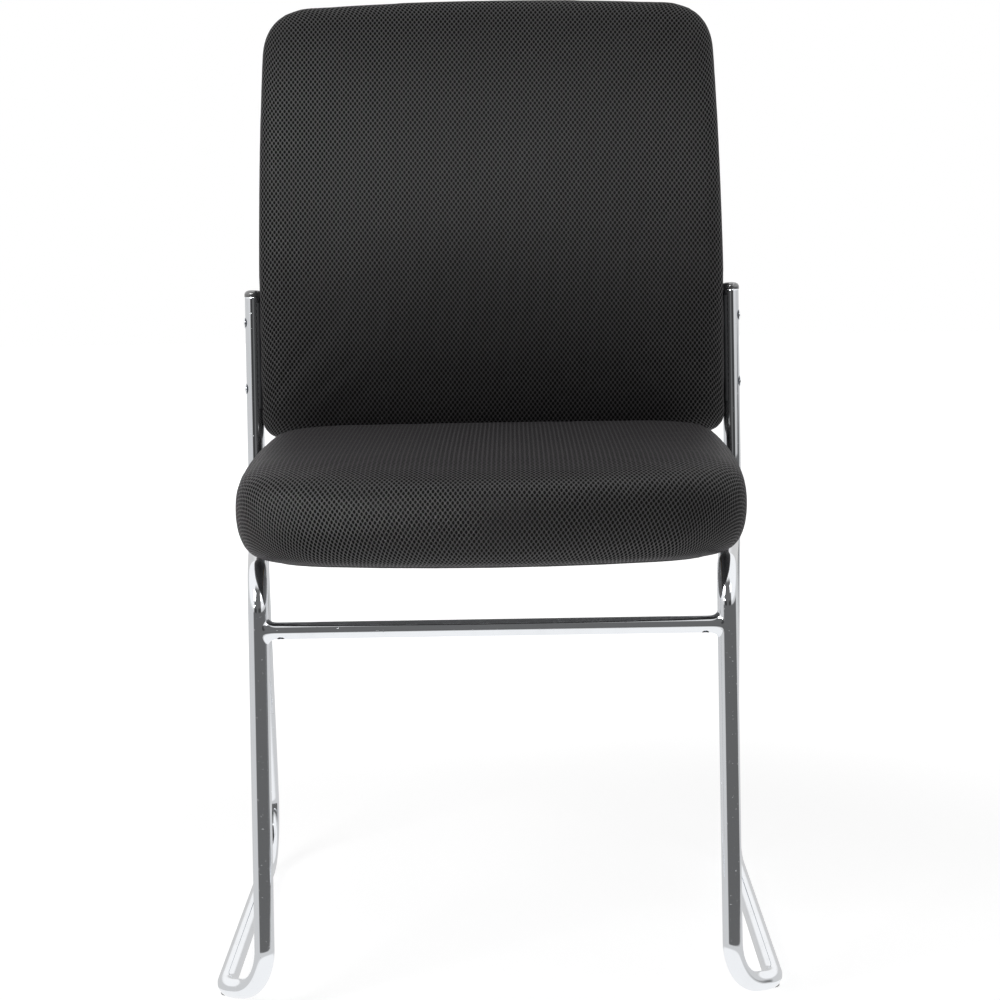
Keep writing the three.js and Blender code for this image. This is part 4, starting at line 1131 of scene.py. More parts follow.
@dataclass
class Pad:
    """A cushion of foam over a board: lofted, filled out as cloth under pressure, and dressed."""

    name: str
    node: str  # the solid that it stands for
    outline: PaddedOutline
    section: Rows
    half: float  # what the outline's whole share is worth, for the spacing of rows
    thickness: float  # of foam and board
    board_thickness: float
    board_share: float  # how much of the outline the board's pocket takes
    spacing: float  # of rows
    cloth_share: float
    gather: tuple[float, float]  # how much closer than on flat cloth the cells stand
    voxel: float = 5.5
    pressure: float = 4.0
    kept: float = 0.12  # how much of the fine puckering that the cloth finds is kept
    most: float = 0.6
    evening: int = 14  # rounds of averaging that part the fine puckering from the broad swelling
    frames: int = 20

    def place(self, u: np.ndarray, v: np.ndarray, rise: float, share: float) -> np.ndarray:
        """Points of the pad from the outline's u and v, a share of the thickness and the ring's share."""
        raise NotImplementedError

    def held(self, points: np.ndarray) -> np.ndarray:
        """How firmly each point stays where the loft has it, from 0 to 1."""
        raise NotImplementedError

    def settle(self, points: np.ndarray) -> np.ndarray:
        """Moves the filled points clear of their neighbours."""
        return points

    def build(self) -> None:
        """Builds and dresses the pad: a cloth map, and one live subdivision on the simulated one."""
        sunk = (self.board_thickness + TUBE.clearance) / self.thickness
        share = self.board_share + 0.002
        rows = [(share * k, sunk) for k in (0.35, 0.7, 0.96, 1.0)] + [(share, sunk * 0.5), (share, 0.0)]
        rows += eased_rows(self.section, (self.half, self.thickness), self.spacing)
        rows += [(0.25, 1.0), (0.1, 1.0)]
        self.points, self.faces, cloth = Loft(self.outline, rows, self.place, self.cloth_share).build()
        self.cloth = cloth * np.array(self.gather)
        thing = self.filled()
        step = thing.modifiers.new("fine", "SUBSURF")
        step.levels = step.render_levels = 1
        finish_piece(thing, Finishes.cloth, [self.node], 180)

    def filled(self) -> bpy.types.Object:
        """Remeshes the loft, fills it out as cloth under pressure and keeps the fine part of what moved."""
        thing = Shape().add(self.points, self.faces).stand(self.name)
        step = thing.modifiers.new("even", "REMESH")
        step.mode, step.voxel_size = "VOXEL", self.voxel * MM
        baked(thing)
        start, cloth = self.on_loft(thing.data)
        self.move(thing.data, start)
        group = thing.vertex_groups.new(name="held")
        firm = self.held(start)
        for index, weight in enumerate(firm):
            group.add([index], float(weight), "REPLACE")
        shift = self.under_pressure(thing) - start
        fine = (shift - self.evened(thing.data, shift)) * (self.kept * (1 - firm))[:, None]
        far = np.linalg.norm(fine, axis=1)
        fine *= np.minimum(1.0, self.most / np.maximum(far, 1e-6))[:, None]
        log.info("%s puckered by %.1f mm at most, %.2f mm on average", self.name, far.max(), far.mean())
        self.move(thing.data, self.settle(start + fine))
        thing.vertex_groups.clear()
        self.lay_cloth(thing.data, cloth)
        return thing

    def evened(self, mesh: bpy.types.Mesh, values: np.ndarray) -> np.ndarray:
        """The values of a mesh's points, averaged with their neighbours' over several rounds."""
        ends = np.zeros(len(mesh.edges) * 2, np.int32)
        mesh.edges.foreach_get("vertices", ends)
        one, other = ends.reshape(-1, 2).T
        count = np.bincount(ends, minlength=len(values)).astype(float)[:, None]
        for _ in range(self.evening):
            total = np.zeros_like(values)
            np.add.at(total, one, values[other])
            np.add.at(total, other, values[one])
            values = 0.5 * values + 0.5 * total / np.maximum(count, 1)
        return values

    def under_pressure(self, thing: bpy.types.Object) -> np.ndarray:
        """Steps the cloth through its frames and returns its points in millimetres."""
        step = thing.modifiers.new("cloth", "CLOTH")
        cloth = step.settings
        cloth.quality, cloth.mass = 5, 0.25
        cloth.use_pressure, cloth.uniform_pressure_force = True, self.pressure
        cloth.tension_stiffness = cloth.compression_stiffness = 20.0
        cloth.shear_stiffness, cloth.bending_stiffness = 8.0, 1.5
        cloth.vertex_group_mass = "held"
        cloth.effector_weights.gravity = 0.0
        step.point_cache.frame_start, step.point_cache.frame_end = 1, self.frames
        scene = bpy.context.scene
        for number in range(1, self.frames + 1):
            scene.frame_set(number)
        ready = thing.evaluated_get(bpy.context.evaluated_depsgraph_get())
        found = np.zeros(len(ready.data.vertices) * 3)
        ready.data.vertices.foreach_get("co", found)
        thing.modifiers.clear()
        scene.frame_set(1)
        return from_row(found.reshape(-1, 3))

    def on_loft(self, mesh: bpy.types.Mesh) -> tuple[np.ndarray, np.ndarray]:
        """Each point of a mesh, drawn to the nearest place on the loft, and its place on the cloth."""
        triangles = [(face[0], *pair) for face in self.faces for pair in zip(face[1:], face[2:])]
        tree = BVHTree.FromPolygons(to_row(self.points).tolist(), triangles)
        found, laid = [], []
        for vertex in mesh.vertices:
            spot, _, index, _ = tree.find_nearest(vertex.co)
            corners = list(triangles[index])
            a, b, c = to_row(self.points[corners])
            point = np.array(spot)
            across, up, out = b - a, c - a, point - a
            d00, d01, d11 = across @ across, across @ up, up @ up
            d20, d21 = out @ across, out @ up
            scale = max(d00 * d11 - d01 * d01, 1e-18)
            v, w = (d11 * d20 - d01 * d21) / scale, (d00 * d21 - d01 * d20) / scale
            shares = np.clip([1 - v - w, v, w], 0, 1)
            laid.append(shares / shares.sum() @ self.cloth[corners])
            found.append(point)
        return from_row(np.array(found)), np.array(laid)

    @staticmethod
    def move(mesh: bpy.types.Mesh, points: np.ndarray) -> None:
        """Puts a mesh's points somewhere else, in millimetres."""
        mesh.vertices.foreach_set("co", to_row(points).ravel())
        mesh.update()

    @staticmethod
    def lay_cloth(mesh: bpy.types.Mesh, cloth: np.ndarray) -> None:
        """Writes each point's place on the flat cloth as a UV map, in metres."""
        layer = mesh.uv_layers.new(name=CLOTH_MAP)
        corners = np.zeros(len(mesh.loops), np.int32)
        mesh.loops.foreach_get("vertex_index", corners)
        layer.data.foreach_set("uv", (cloth[corners] * MM).astype(np.float32).ravel())


@dataclass(frozen=True)
class SeatSizes:
    """Sizes of the seat that its pad and the staples share."""

    nose: float = 42.0  # how far the front corners stand in front of the knees
    overhang: float = 20.0
    flare: float = 5.0
    tuck: float = 4.0
    rear_bow: float = 6.0
    back_face: float = -32.0  # the back pad's face, in the back's frame

    @property
    def outline(self) -> PaddedOutline:
        """The seat's outline, near edge in front."""
        rear = TUBE.hip_setback + self.back_face * math.cos(math.radians(TUBE.post_lean)) + self.tuck
        half = TUBE.knee_span / 2 + self.overhang
        return PaddedOutline(
            near_half=half,
            far_half=half + self.flare,
            length=rear - self.rear_bow + self.nose,
            near_corner=62.0,
            far_corner=58.0,
            near_bow=20.0,
            far_bow=self.rear_bow,
            side_bow=4.0,
        )


SEAT = SeatSizes()


class SeatPad(Pad):
    """The seat: foam over a board, covered in spacer mesh, its front edge rolled down."""

    crown = 4.0
    fall = 8.0
    fall_reach = 110.0
    bottom = TUBE.seat_underside + 1.0 + TUBE.clearance  # over the dust cover
    free = (3.0, 24.0)  # the heights over the bottom between which the cloth comes free
    rows = (
        (0.875, 0.0), (0.928, 0.04), (0.963, 0.12), (0.986, 0.25), (0.998, 0.41), (1.0, 0.58),
        (0.992, 0.76), (0.968, 0.88), (0.925, 0.955), (0.85, 0.995), (0.68, 1.0), (0.4, 1.0),
    )

    def __init__(self) -> None:
        super().__init__(
            "seat_pad",
            "seat_cushion",
            SEAT.outline,
            self.rows,
            half=240.0,
            thickness=86.0,
            board_thickness=12.0,
            board_share=0.86,
            spacing=4.0,
            cloth_share=0.96,
            gather=(1.12, 1.06),
        )

    def place(self, u: np.ndarray, v: np.ndarray, rise: float, share: float) -> np.ndarray:
        """Points of the pad: crowned, and falling towards the front edge."""
        crown = self.crown * (1 - share * share)
        fall = self.fall * np.maximum(0, 1 - v / self.fall_reach) ** 2
        height = rise * (self.thickness + crown - fall)
        return np.stack([u, v - SEAT.nose, self.bottom + height], 1)

    def held(self, points: np.ndarray) -> np.ndarray:
        """The underside and the pocket stay; the rest is free."""
        return 1 - between(points[:, 2], *(self.bottom + rise for rise in self.free))


@dataclass(frozen=True)
class BackSizes:
    """Sizes of the back that its pad, board and shell share."""

    outline: PaddedOutline = PaddedOutline(
        near_half=246.1,
        far_half=246.1 - 6.0,
        length=460.0,
        near_corner=40.0,
        far_corner=54.0,
        near_bow=4.0,
        far_bow=5.0,
        side_bow=1.5,
    )
    bottom: float = 36.0
    foam: float = 42.0
    board_thickness: float = 9.0
    board_setback: float = 10.0
    board_share: float = 0.93
    bend_start: float = 203.0
    bend_angle: float = 12.5

    @property
    def rear(self) -> float:
        """Depth of the board's rear face, with its clearance."""
        return -self.board_thickness - TUBE.clearance

    @property
    def bend_radius(self) -> float:
        """Radius of the curved upper part."""
        return (self.bottom + self.outline.length - self.bend_start) / math.radians(self.bend_angle)

    def point(self, x: np.ndarray, s: np.ndarray, d: np.ndarray) -> np.ndarray:
        """Points across x, up the board s and forward of its face d, in the chair's frame."""
        x, s, d = np.broadcast_arrays(*(np.asarray(value, float) for value in (x, s, d)))
        past = np.maximum(0, s - self.bend_start)
        angle = past / self.bend_radius
        radius = self.bend_radius + d
        y = self.board_setback + self.bend_radius - radius * np.cos(angle)
        return TUBE.lean(np.stack([x, y, s - past + radius * np.sin(angle)], -1))

    def normal(self, s: float) -> np.ndarray:
        """The way forward out of the board at a height."""
        return unit(self.point(0.0, s, 10.0) - self.point(0.0, s, 0.0))


SIZES = BackSizes()


@dataclass(frozen=True)
class Neighbour:
    """Something that stands against the back pad's side, in the back's own frame."""

    clear: float  # how far out from the middle the pad may reach beside it
    front: float  # its front face
    low: float
    high: float
    ease: float  # how long its ends take to let go

    def beside(self, local: np.ndarray) -> np.ndarray:
        """How much each point stands beside it, from 0 to 1."""
        rise = between(local[:, 2], self.low - 8, self.low - 1)
        drop = between(local[:, 2], self.high + 1, self.high + 1 + self.ease)
        return between(local[:, 1], self.front - 4.5, self.front - 0.5) * (rise * (1 - drop))


class BackPad(Pad):
    """The back: thin foam over a curved board, covered in spacer mesh."""

    crown = 7.0
    lumbar = 0.22
    top_share = 0.74
    bottom_share = 0.88
    low_corner = 30.0
    free = (-14.0, 2.0)  # the depths from the board's face between which the cloth comes free
    post = Neighbour(242.9, -9.8, -500.0, TUBE.post_length + 8.0, 11.0)  # with the cap on its end
    bracket = Neighbour(240.1, -12.4, 70.0, 182.0, 7.0)
    rows = (
        (0.948, 0.0), (0.968, 0.07), (0.981, 0.18), (0.991, 0.3), (0.998, 0.44),
        (1.0, 0.58), (0.998, 0.71), (0.989, 0.82), (0.966, 0.91), (0.92, 0.97),
        (0.85, 0.995), (0.7, 1.0), (0.4, 1.0),
    )

    def __init__(self) -> None:
        super().__init__(
            "back_pad",
            "back_cushion",
            replace(SIZES.outline, near_corner=self.low_corner),
            self.rows,
            half=248.0,
            thickness=SIZES.foam + SIZES.board_thickness,
            board_thickness=SIZES.board_thickness,
            board_share=SIZES.board_share,
            spacing=3.5,
            cloth_share=0.93,
            gather=(1.02, 1.0),
        )

    def place(self, u: np.ndarray, v: np.ndarray, rise: float, share: float) -> np.ndarray:
        """Points of the pad, its foam fullest at the small of the back."""
        up = v / SIZES.outline.length
        above = np.maximum(0, up - self.lumbar) / (1 - self.lumbar)
        below = np.maximum(0, self.lumbar - up) / self.lumbar
        full = 1 - (1 - self.top_share) * above**2 - (1 - self.bottom_share) * below**2
        front = rise * (self.thickness * full + self.crown * (1 - share * share))
        return SIZES.point(u, SIZES.bottom + v, front - SIZES.board_thickness)

    def local(self, points: np.ndarray) -> np.ndarray:
        """Points of the chair's frame turned back into the back's own frame."""
        lean = math.radians(TUBE.post_lean)
        y, z = points[:, 1] - TUBE.hip_setback, points[:, 2] - TUBE.hip_height
        c, s = math.cos(lean), math.sin(lean)
        return np.stack([points[:, 0], c * y - s * z, s * y + c * z], 1)

    def held(self, points: np.ndarray) -> np.ndarray:
        """The rear face and the pocket stay; the rest is free."""
        local = self.local(points)
        past = np.maximum(0, local[:, 2] - SIZES.bend_start)
        face = SIZES.board_setback + past**2 / (2 * SIZES.bend_radius)
        return between(local[:, 1] - face, *self.free)

    def settle(self, points: np.ndarray) -> np.ndarray:
        """Draws the pad's sides in where the posts, their caps and the brackets stand against them."""
        local = self.local(points)
        reach = np.abs(points[:, 0])
        for other in (self.post, self.bracket):
            reach = reach - np.maximum(0, reach - other.clear) * other.beside(local)
        moved = points.copy()
        moved[:, 0] = np.sign(points[:, 0]) * reach
        return moved


@dataclass
class RearShell:
    """The thin moulded shell that closes the back, with four sunk screws."""

    depth: float = 11.0
    wall: float = 2.5
    sink: float = 2.6
    screw_span: float = 300.0
    low_screw: float = 34.0
    high_screw: float = 60.0
    hole_radius: float = 4.5
    bore_radius: float = 2.4
    boss_radius: float = 6.4
    drill_start: float = 8.0  # how far behind the shell its drill starts
    half: float = 248.0  # what the section's whole share is worth
    spacing: float = 4.0  # of the section's rows
    section = (
        (0.4, 1.0), (0.7, 1.0), (0.85, 1.0), (0.9, 0.985),
        (0.93, 0.9), (0.946, 0.7), (0.953, 0.4), (0.956, 0.0),
    )

    def screw_spots(self) -> list[tuple[float, float]]:
        """Where the shell's screws go, across and up the board."""
        length = SIZES.outline.length
        edge = (1 - SIZES.board_share) * length / 2
        heights = (SIZES.bottom + edge + self.low_screw, SIZES.bottom + length - edge - self.high_screw)
        return [(side * self.screw_span / 2, height) for height in heights for side in (-1, 1)]

    def build(self) -> None:
        """Builds and dresses the shell."""
        rim, floor = SIZES.rear, SIZES.rear - self.depth
        wall = self.wall / SIZES.outline.near_half
        outer = eased_rows(self.section, (self.half, self.depth), self.spacing)
        rows = [(0.06, floor), (0.2, floor)] + [(share, rim - rise * self.depth) for share, rise in outer]
        rows += [(self.section[-1][0] - wall, rim)]
        rows += [(share - wall, rim - rise * (self.depth - self.wall)) for share, rise in outer[::-1]]
        rows += [(0.06, floor + self.wall)]
        place = lambda u, v, d, share: SIZES.point(u, SIZES.bottom + v, d)
        points, faces, _ = Loft(SIZES.outline, rows, place, 0.84, steps=16).build()
        thing = Shape().add(points, faces).stand("moulded_rear_shell")
        drill, cups = Shape(), Shape()
        hole, bore, boss = self.hole_radius, self.bore_radius, self.boss_radius
        inner = self.depth - 0.5
        cup = [(hole, 0.35), (hole, self.sink), (bore, self.sink)]
        cup += [(bore, inner), (boss, inner), (boss, 0.4)]
        rod = [(hole, 0.0), (hole, self.drill_start + self.depth)]
        for x, s in self.screw_spots():
            way = SIZES.normal(s)
            drill.add_rings(turned(rod, SIZES.point(x, s, floor - self.drill_start), way, 32))
            cups.add_rings(turned(cup, SIZES.point(x, s, floor), way, 32), closed=False)
        cut_with(thing, drill.stand("shell_drill"))
        faces = [tuple(face.vertices) for face in thing.data.polygons]
        whole = Shape().add(from_row([vertex.co for vertex in thing.data.vertices]), faces)
        whole.add(np.concatenate(cups.points), cups.faces)
        thing.data = whole.mesh(thing.name)
        finish_piece(thing, Finishes.shell, ["back_shell"], 38)


# What repeats: fasteners and staples


def scatter_tree(name: str, labels: Sequence[str], write: Callable) -> bpy.types.NodeTree:
    """A Geometry Nodes tree that sets a small body on points, made once.

    Args:
        name: the tree's name.
        labels: its number inputs.
        write: takes the board and the inputs, and returns the points, the body, its rotation and how
            far it may spin either side of a middle.
    Returns:
        The tree.
    """
    known = bpy.data.node_groups.get(name)
    if known:
        return known
    tree = bpy.data.node_groups.new(name, "GeometryNodeTree")
    kinds = {"Geometry": "Geometry"} | dict.fromkeys(labels, "Float") | {"Seed": "Int", "Finish": "Material"}
    for label, kind in kinds.items():
        tree.interface.new_socket(label, in_out="INPUT", socket_type=f"NodeSocket{kind}")
    tree.interface.new_socket("Geometry", in_out="OUTPUT", socket_type="NodeSocketGeometry")
    board = Board(tree)
    given = board.add("NodeGroupInput").outputs
    points, body, turn, (least, most) = write(board, given)
    spin = {2: least, 3: most, "Seed": given["Seed"]}
    spin = board.out("FunctionNodeRandomValue", spin, 1, data_type="FLOAT")
    own = board.out("FunctionNodeAxisAngleToRotation", {"Axis": (0.0, 0.0, 1.0), "Angle": spin})
    turn = board.out("FunctionNodeRotateRotation", {0: turn, 1: own}, rotation_space="LOCAL")
    laid = board.out("GeometryNodeInstanceOnPoints", {"Points": points, "Instance": body, "Rotation": turn})
    real = board.out("GeometryNodeRealizeInstances", {"Geometry": laid})
    dressed = board.out("GeometryNodeSetMaterial", {"Geometry": real, "Material": given["Finish"]})
    board.add("NodeGroupOutput", {"Geometry": dressed})
    return tree


def scatter(
    thing: bpy.types.Object, tree: bpy.types.NodeTree, sizes: dict[str, float], finish: "Finish", seed: int
) -> None:
    """Runs a scattering tree on an object and leaves a plain mesh.

    Args:
        thing: the object that holds the points.
        tree: the scattering tree.
        sizes: its number inputs.
        finish: what the bodies are covered in.
        seed: settles how each body is turned.
    """
    step = thing.modifiers.new("scatter", "NODES")
    step.node_group = tree
    keys = {item.name: item.identifier for item in tree.interface.items_tree if item.in_out == "INPUT"}
    for label, value in (sizes | {"Seed": seed, "Finish": finish.material()}).items():
        step[keys[label]] = value
    baked(thing)


class Recess(Enum):
    """What a screw's head is driven by."""

    CROSS = "cross"
    HEXAGON = "hexagon"


@dataclass(frozen=True)
class Fastener:
    """A screw's sizes, in millimetres."""

    head_diameter: float
    head_height: float
    shank_diameter: float
    shank_length: float
    recess_width: float
    recess: Recess = Recess.CROSS
    dome: float = 0.38

    labels = ("Head Diameter", "Head Height", "Shank Diameter", "Shank Length", "Recess Width", "Dome")

    def write(self, board: Board, given: Sequence[Socket]) -> tuple:
        """Writes one screw: a domed head with its recess, on a plain shank, facing the point's way."""
        high, width = given["Head Height"], given["Recess Width"]
        radius = board.times(given["Head Diameter"], 0.5)
        sizes = {"Vertices": 32, "Side Segments": 6, "Radius": radius, "Depth": high}
        head = board.out("GeometryNodeMeshCylinder", sizes)
        x, y, z = board.parts(board.out("GeometryNodeInputPosition"))
        lifted = board.plus(z, board.times(high, 0.5))
        up = board.math("DIVIDE", lifted, high)
        left = board.math("SQRT", board.math("SUBTRACT", 1.0001, board.math("POWER", up, 2.0)))
        shrink = board.math("SUBTRACT", 1.0, board.times(board.math("SUBTRACT", 1.0, left), given["Dome"]))
        spot = board.xyz(board.times(x, shrink), board.times(y, shrink), lifted)
        head = board.out("GeometryNodeSetPosition", {"Geometry": head, "Position": spot})
        depth, top = board.times(high, 1.3), board.xyz(0.0, 0.0, high)
        if self.recess is Recess.HEXAGON:
            sizes = {"Vertices": 6, "Radius": board.times(width, 0.5), "Depth": depth}
            tools = [board.out("GeometryNodeMeshCylinder", sizes)]
        else:
            narrow = board.times(width, 0.26)
            pairs = ((width, narrow), (narrow, width))
            tools = [board.out("GeometryNodeMeshCube", {"Size": board.xyz(*pair, depth)}) for pair in pairs]
        for tool in tools:
            moved = board.out("GeometryNodeTransform", {"Geometry": tool, "Translation": top})
            steps = {"operation": "DIFFERENCE", "solver": "EXACT"}
            head = board.out("GeometryNodeMeshBoolean", {0: head, 1: moved}, **steps)
        length = given["Shank Length"]
        sizes = {"Vertices": 20, "Radius": board.times(given["Shank Diameter"], 0.5), "Depth": length}
        low = board.xyz(0.0, 0.0, board.times(length, -0.5))
        shank = {"Geometry": board.out("GeometryNodeMeshCylinder", sizes), "Translation": low}
        joined = board.add("GeometryNodeJoinGeometry", {0: board.out("GeometryNodeTransform", shank)})
        board.fill(joined, {0: head})
        facing = board.out("GeometryNodeInputNamedAttribute", {"Name": "facing"}, data_type="FLOAT_VECTOR")
        turn = board.out("FunctionNodeAlignRotationToVector", {"Vector": facing}, axis="Z")
        points = board.out("GeometryNodeMeshToPoints", {"Mesh": given["Geometry"]})
        return points, joined.outputs[0], turn, (0.0, math.pi)

    def set_out(self, name: str, spots: Spots, finish: Finish, seed: int) -> bpy.types.Object:
        """Sets the screw on each spot.

        Args:
            name: the new object's name.
            spots: where each head's seat is, in millimetres, and the way the head faces.
            finish: the screw's finish.
            seed: settles how each head is turned.
        Returns:
            A plain mesh object.
        """
        mesh = bpy.data.meshes.new(name)
        mesh.from_pydata(to_row(np.array([spot for spot, _ in spots])).tolist(), [], [])
        facing = mesh.attributes.new("facing", "FLOAT_VECTOR", "POINT")
        facing.data.foreach_set("vector", np.concatenate([unit(way) for _, way in spots]))
        thing = stand(name, mesh)
        lengths = [self.head_diameter, self.head_height, self.shank_diameter, self.shank_length]
        lengths = [length * MM for length in lengths + [self.recess_width]]
        tree = scatter_tree(f"set_screws_{self.recess.value}", self.labels, self.write)
        scatter(thing, tree, dict(zip(self.labels, lengths + [self.dome])), finish, seed)
        return thing


@dataclass
class Fasteners:
    """Every screw and bolt whose head can be seen."""

    seat_screw: Fastener = Fastener(12.0, 3.4, 6.0, 15.6, 5.6)
    side_bolt: Fastener = Fastener(12.0, 1.4, 6.0, 28.0, 4.6, Recess.HEXAGON, 0.3)
    bracket_screw: Fastener = Fastener(9.0, 2.6, 4.5, 10.3, 4.4)
    shell_screw: Fastener = Fastener(8.4, 2.0, 4.2, 15.4, 3.9)
    seat_screw_half: float = 178.0
    tab_thickness: float = 3.0
    tabs: tuple[float, float] = (TUBE.knee_radius + 34.0, TUBE.hip_setback - 88.0)
    bolts: tuple[float, float] = (161.0, 91.0)
    bolt_seat: float = TUBE.rail_span / 2 + TUBE.radius - 0.35
    bracket_x: float = 209.7
    bracket_heights: tuple[float, float] = (84.0, 168.0)
    bracket_thickness: float = 3.0

    def rear_spots(self, spots: Rows, depth: float) -> Spots:
        """Screws driven forward into the back, their heads to the rear."""
        return [(SIZES.point(x, s, depth), -SIZES.normal(s)) for x, s in spots]

    def build(self, shell: RearShell) -> None:
        """Builds and dresses all the fasteners."""
        z = TUBE.seat_underside - TUBE.clearance - self.tab_thickness
        seat = [(vec(side * self.seat_screw_half, y, z), -UP) for y in self.tabs for side in (-1, 1)]
        posts = [
            (TUBE.lean(vec(side * self.bolt_seat, 0.0, up)), RIGHT * side)
            for up in self.bolts
            for side in (-1, 1)
        ]
        bracket = [(side * self.bracket_x, s) for s in self.bracket_heights for side in (-1, 1)]
        brackets = self.rear_spots(bracket, SIZES.rear - self.bracket_thickness)
        shells = self.rear_spots(shell.screw_spots(), SIZES.rear - shell.depth + shell.sink)
        chrome, zinc, enamel = Finishes.chrome, Finishes.zinc, Finishes.enamel
        plan = [
            ("seat_screws", self.seat_screw, seat, zinc, "seat_screw", ("front", "rear")),
            ("side_bolts", self.side_bolt, posts, chrome, "back_bolt", ("upper", "lower")),
            ("bracket_screws", self.bracket_screw, brackets, enamel, "bracket_screw", ("upper", "lower")),
            ("shell_screws", self.shell_screw, shells, enamel, "shell_screw", ("upper", "lower")),
        ]
        for seed, (name, kind, spots, finish, stem, rows) in enumerate(plan, 3):
            nodes = [f"{stem}_{row}_{side}" for row in rows for side in SIDES]
            finish_piece(kind.set_out(name, spots, finish, seed), finish, nodes, 35)


@dataclass
class Staples:
    """The staples that hold the dust cloth under the seat."""

    share: float = 0.845
    spacing: float = 34.0
    crown: float = 11.0
    wire: float = 0.9
    gauge: float = 0.5
    seed: int = 11

    @staticmethod
    def write(board: Board, given: Sequence[Socket]) -> tuple:
        """Writes one staple, its ends bent down, along a closed line."""
        crown, gauge = given["Crown"], given["Gauge"]
        line = board.out("GeometryNodeMeshToCurve", {"Mesh": given["Geometry"]})
        steps = {"Curve": line, "Length": given["Spacing"]}
        line = board.out("GeometryNodeResampleCurve", steps, mode="LENGTH")
        size = board.xyz(crown, given["Wire"], gauge)
        staple = board.out("GeometryNodeMeshCube", {"Size": size, "Vertices X": 6})
        across = board.parts(board.out("GeometryNodeInputPosition"))[0]
        reach = board.math("ABSOLUTE", board.math("DIVIDE", across, board.times(crown, 0.5)))
        lift = board.xyz(0.0, 0.0, board.times(board.math("POWER", reach, 6.0), gauge))
        staple = board.out("GeometryNodeSetPosition", {"Geometry": staple, "Offset": lift})
        way = board.out("GeometryNodeInputTangent")
        turn = board.out("FunctionNodeAlignRotationToVector", {"Vector": way}, axis="X")
        return line, staple, turn, (-0.16, 0.16)

    def build(self) -> None:
        """Builds and dresses the staples."""
        flat = SEAT.outline.scaled(12, self.share)
        height = TUBE.seat_underside - self.gauge * 0.4
        count = len(flat)
        points = np.column_stack([flat[:, 0], flat[:, 1] - SEAT.nose, np.full(count, height)])
        mesh = bpy.data.meshes.new("cloth_staples")
        mesh.from_pydata(to_row(points).tolist(), [(i, (i + 1) % count) for i in range(count)], [])
        thing = stand("cloth_staples", mesh)
        lengths = {"Spacing": self.spacing, "Crown": self.crown, "Wire": self.wire, "Gauge": self.gauge}
        sizes = {label: value * MM for label, value in lengths.items()}
        scatter(thing, scatter_tree("set_staples", list(sizes), self.write), sizes, Finishes.zinc, self.seed)
        finish_piece(thing, Finishes.zinc, (), 30)


def dress_carried_nodes() -> None:
    """Gives the solids whose own shape is right their finish, by their names."""
    plan = {
        ("seat_tab_", "tee_nut_"): Finishes.zinc,
        ("back_bracket_", "back_nut_"): Finishes.enamel,
        ("seat_board", "back_board"): Finishes.plywood,
        ("seat_dust_cover",): Finishes.underside,
    }
    for name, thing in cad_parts.items():
        for stems, finish in plan.items():
            if name.startswith(stems):
                for slot in thing.material_slots:
                    slot.material = finish.material()
                log.info("%s keeps its shape, dressed in %s", name, finish.name)


# The studio


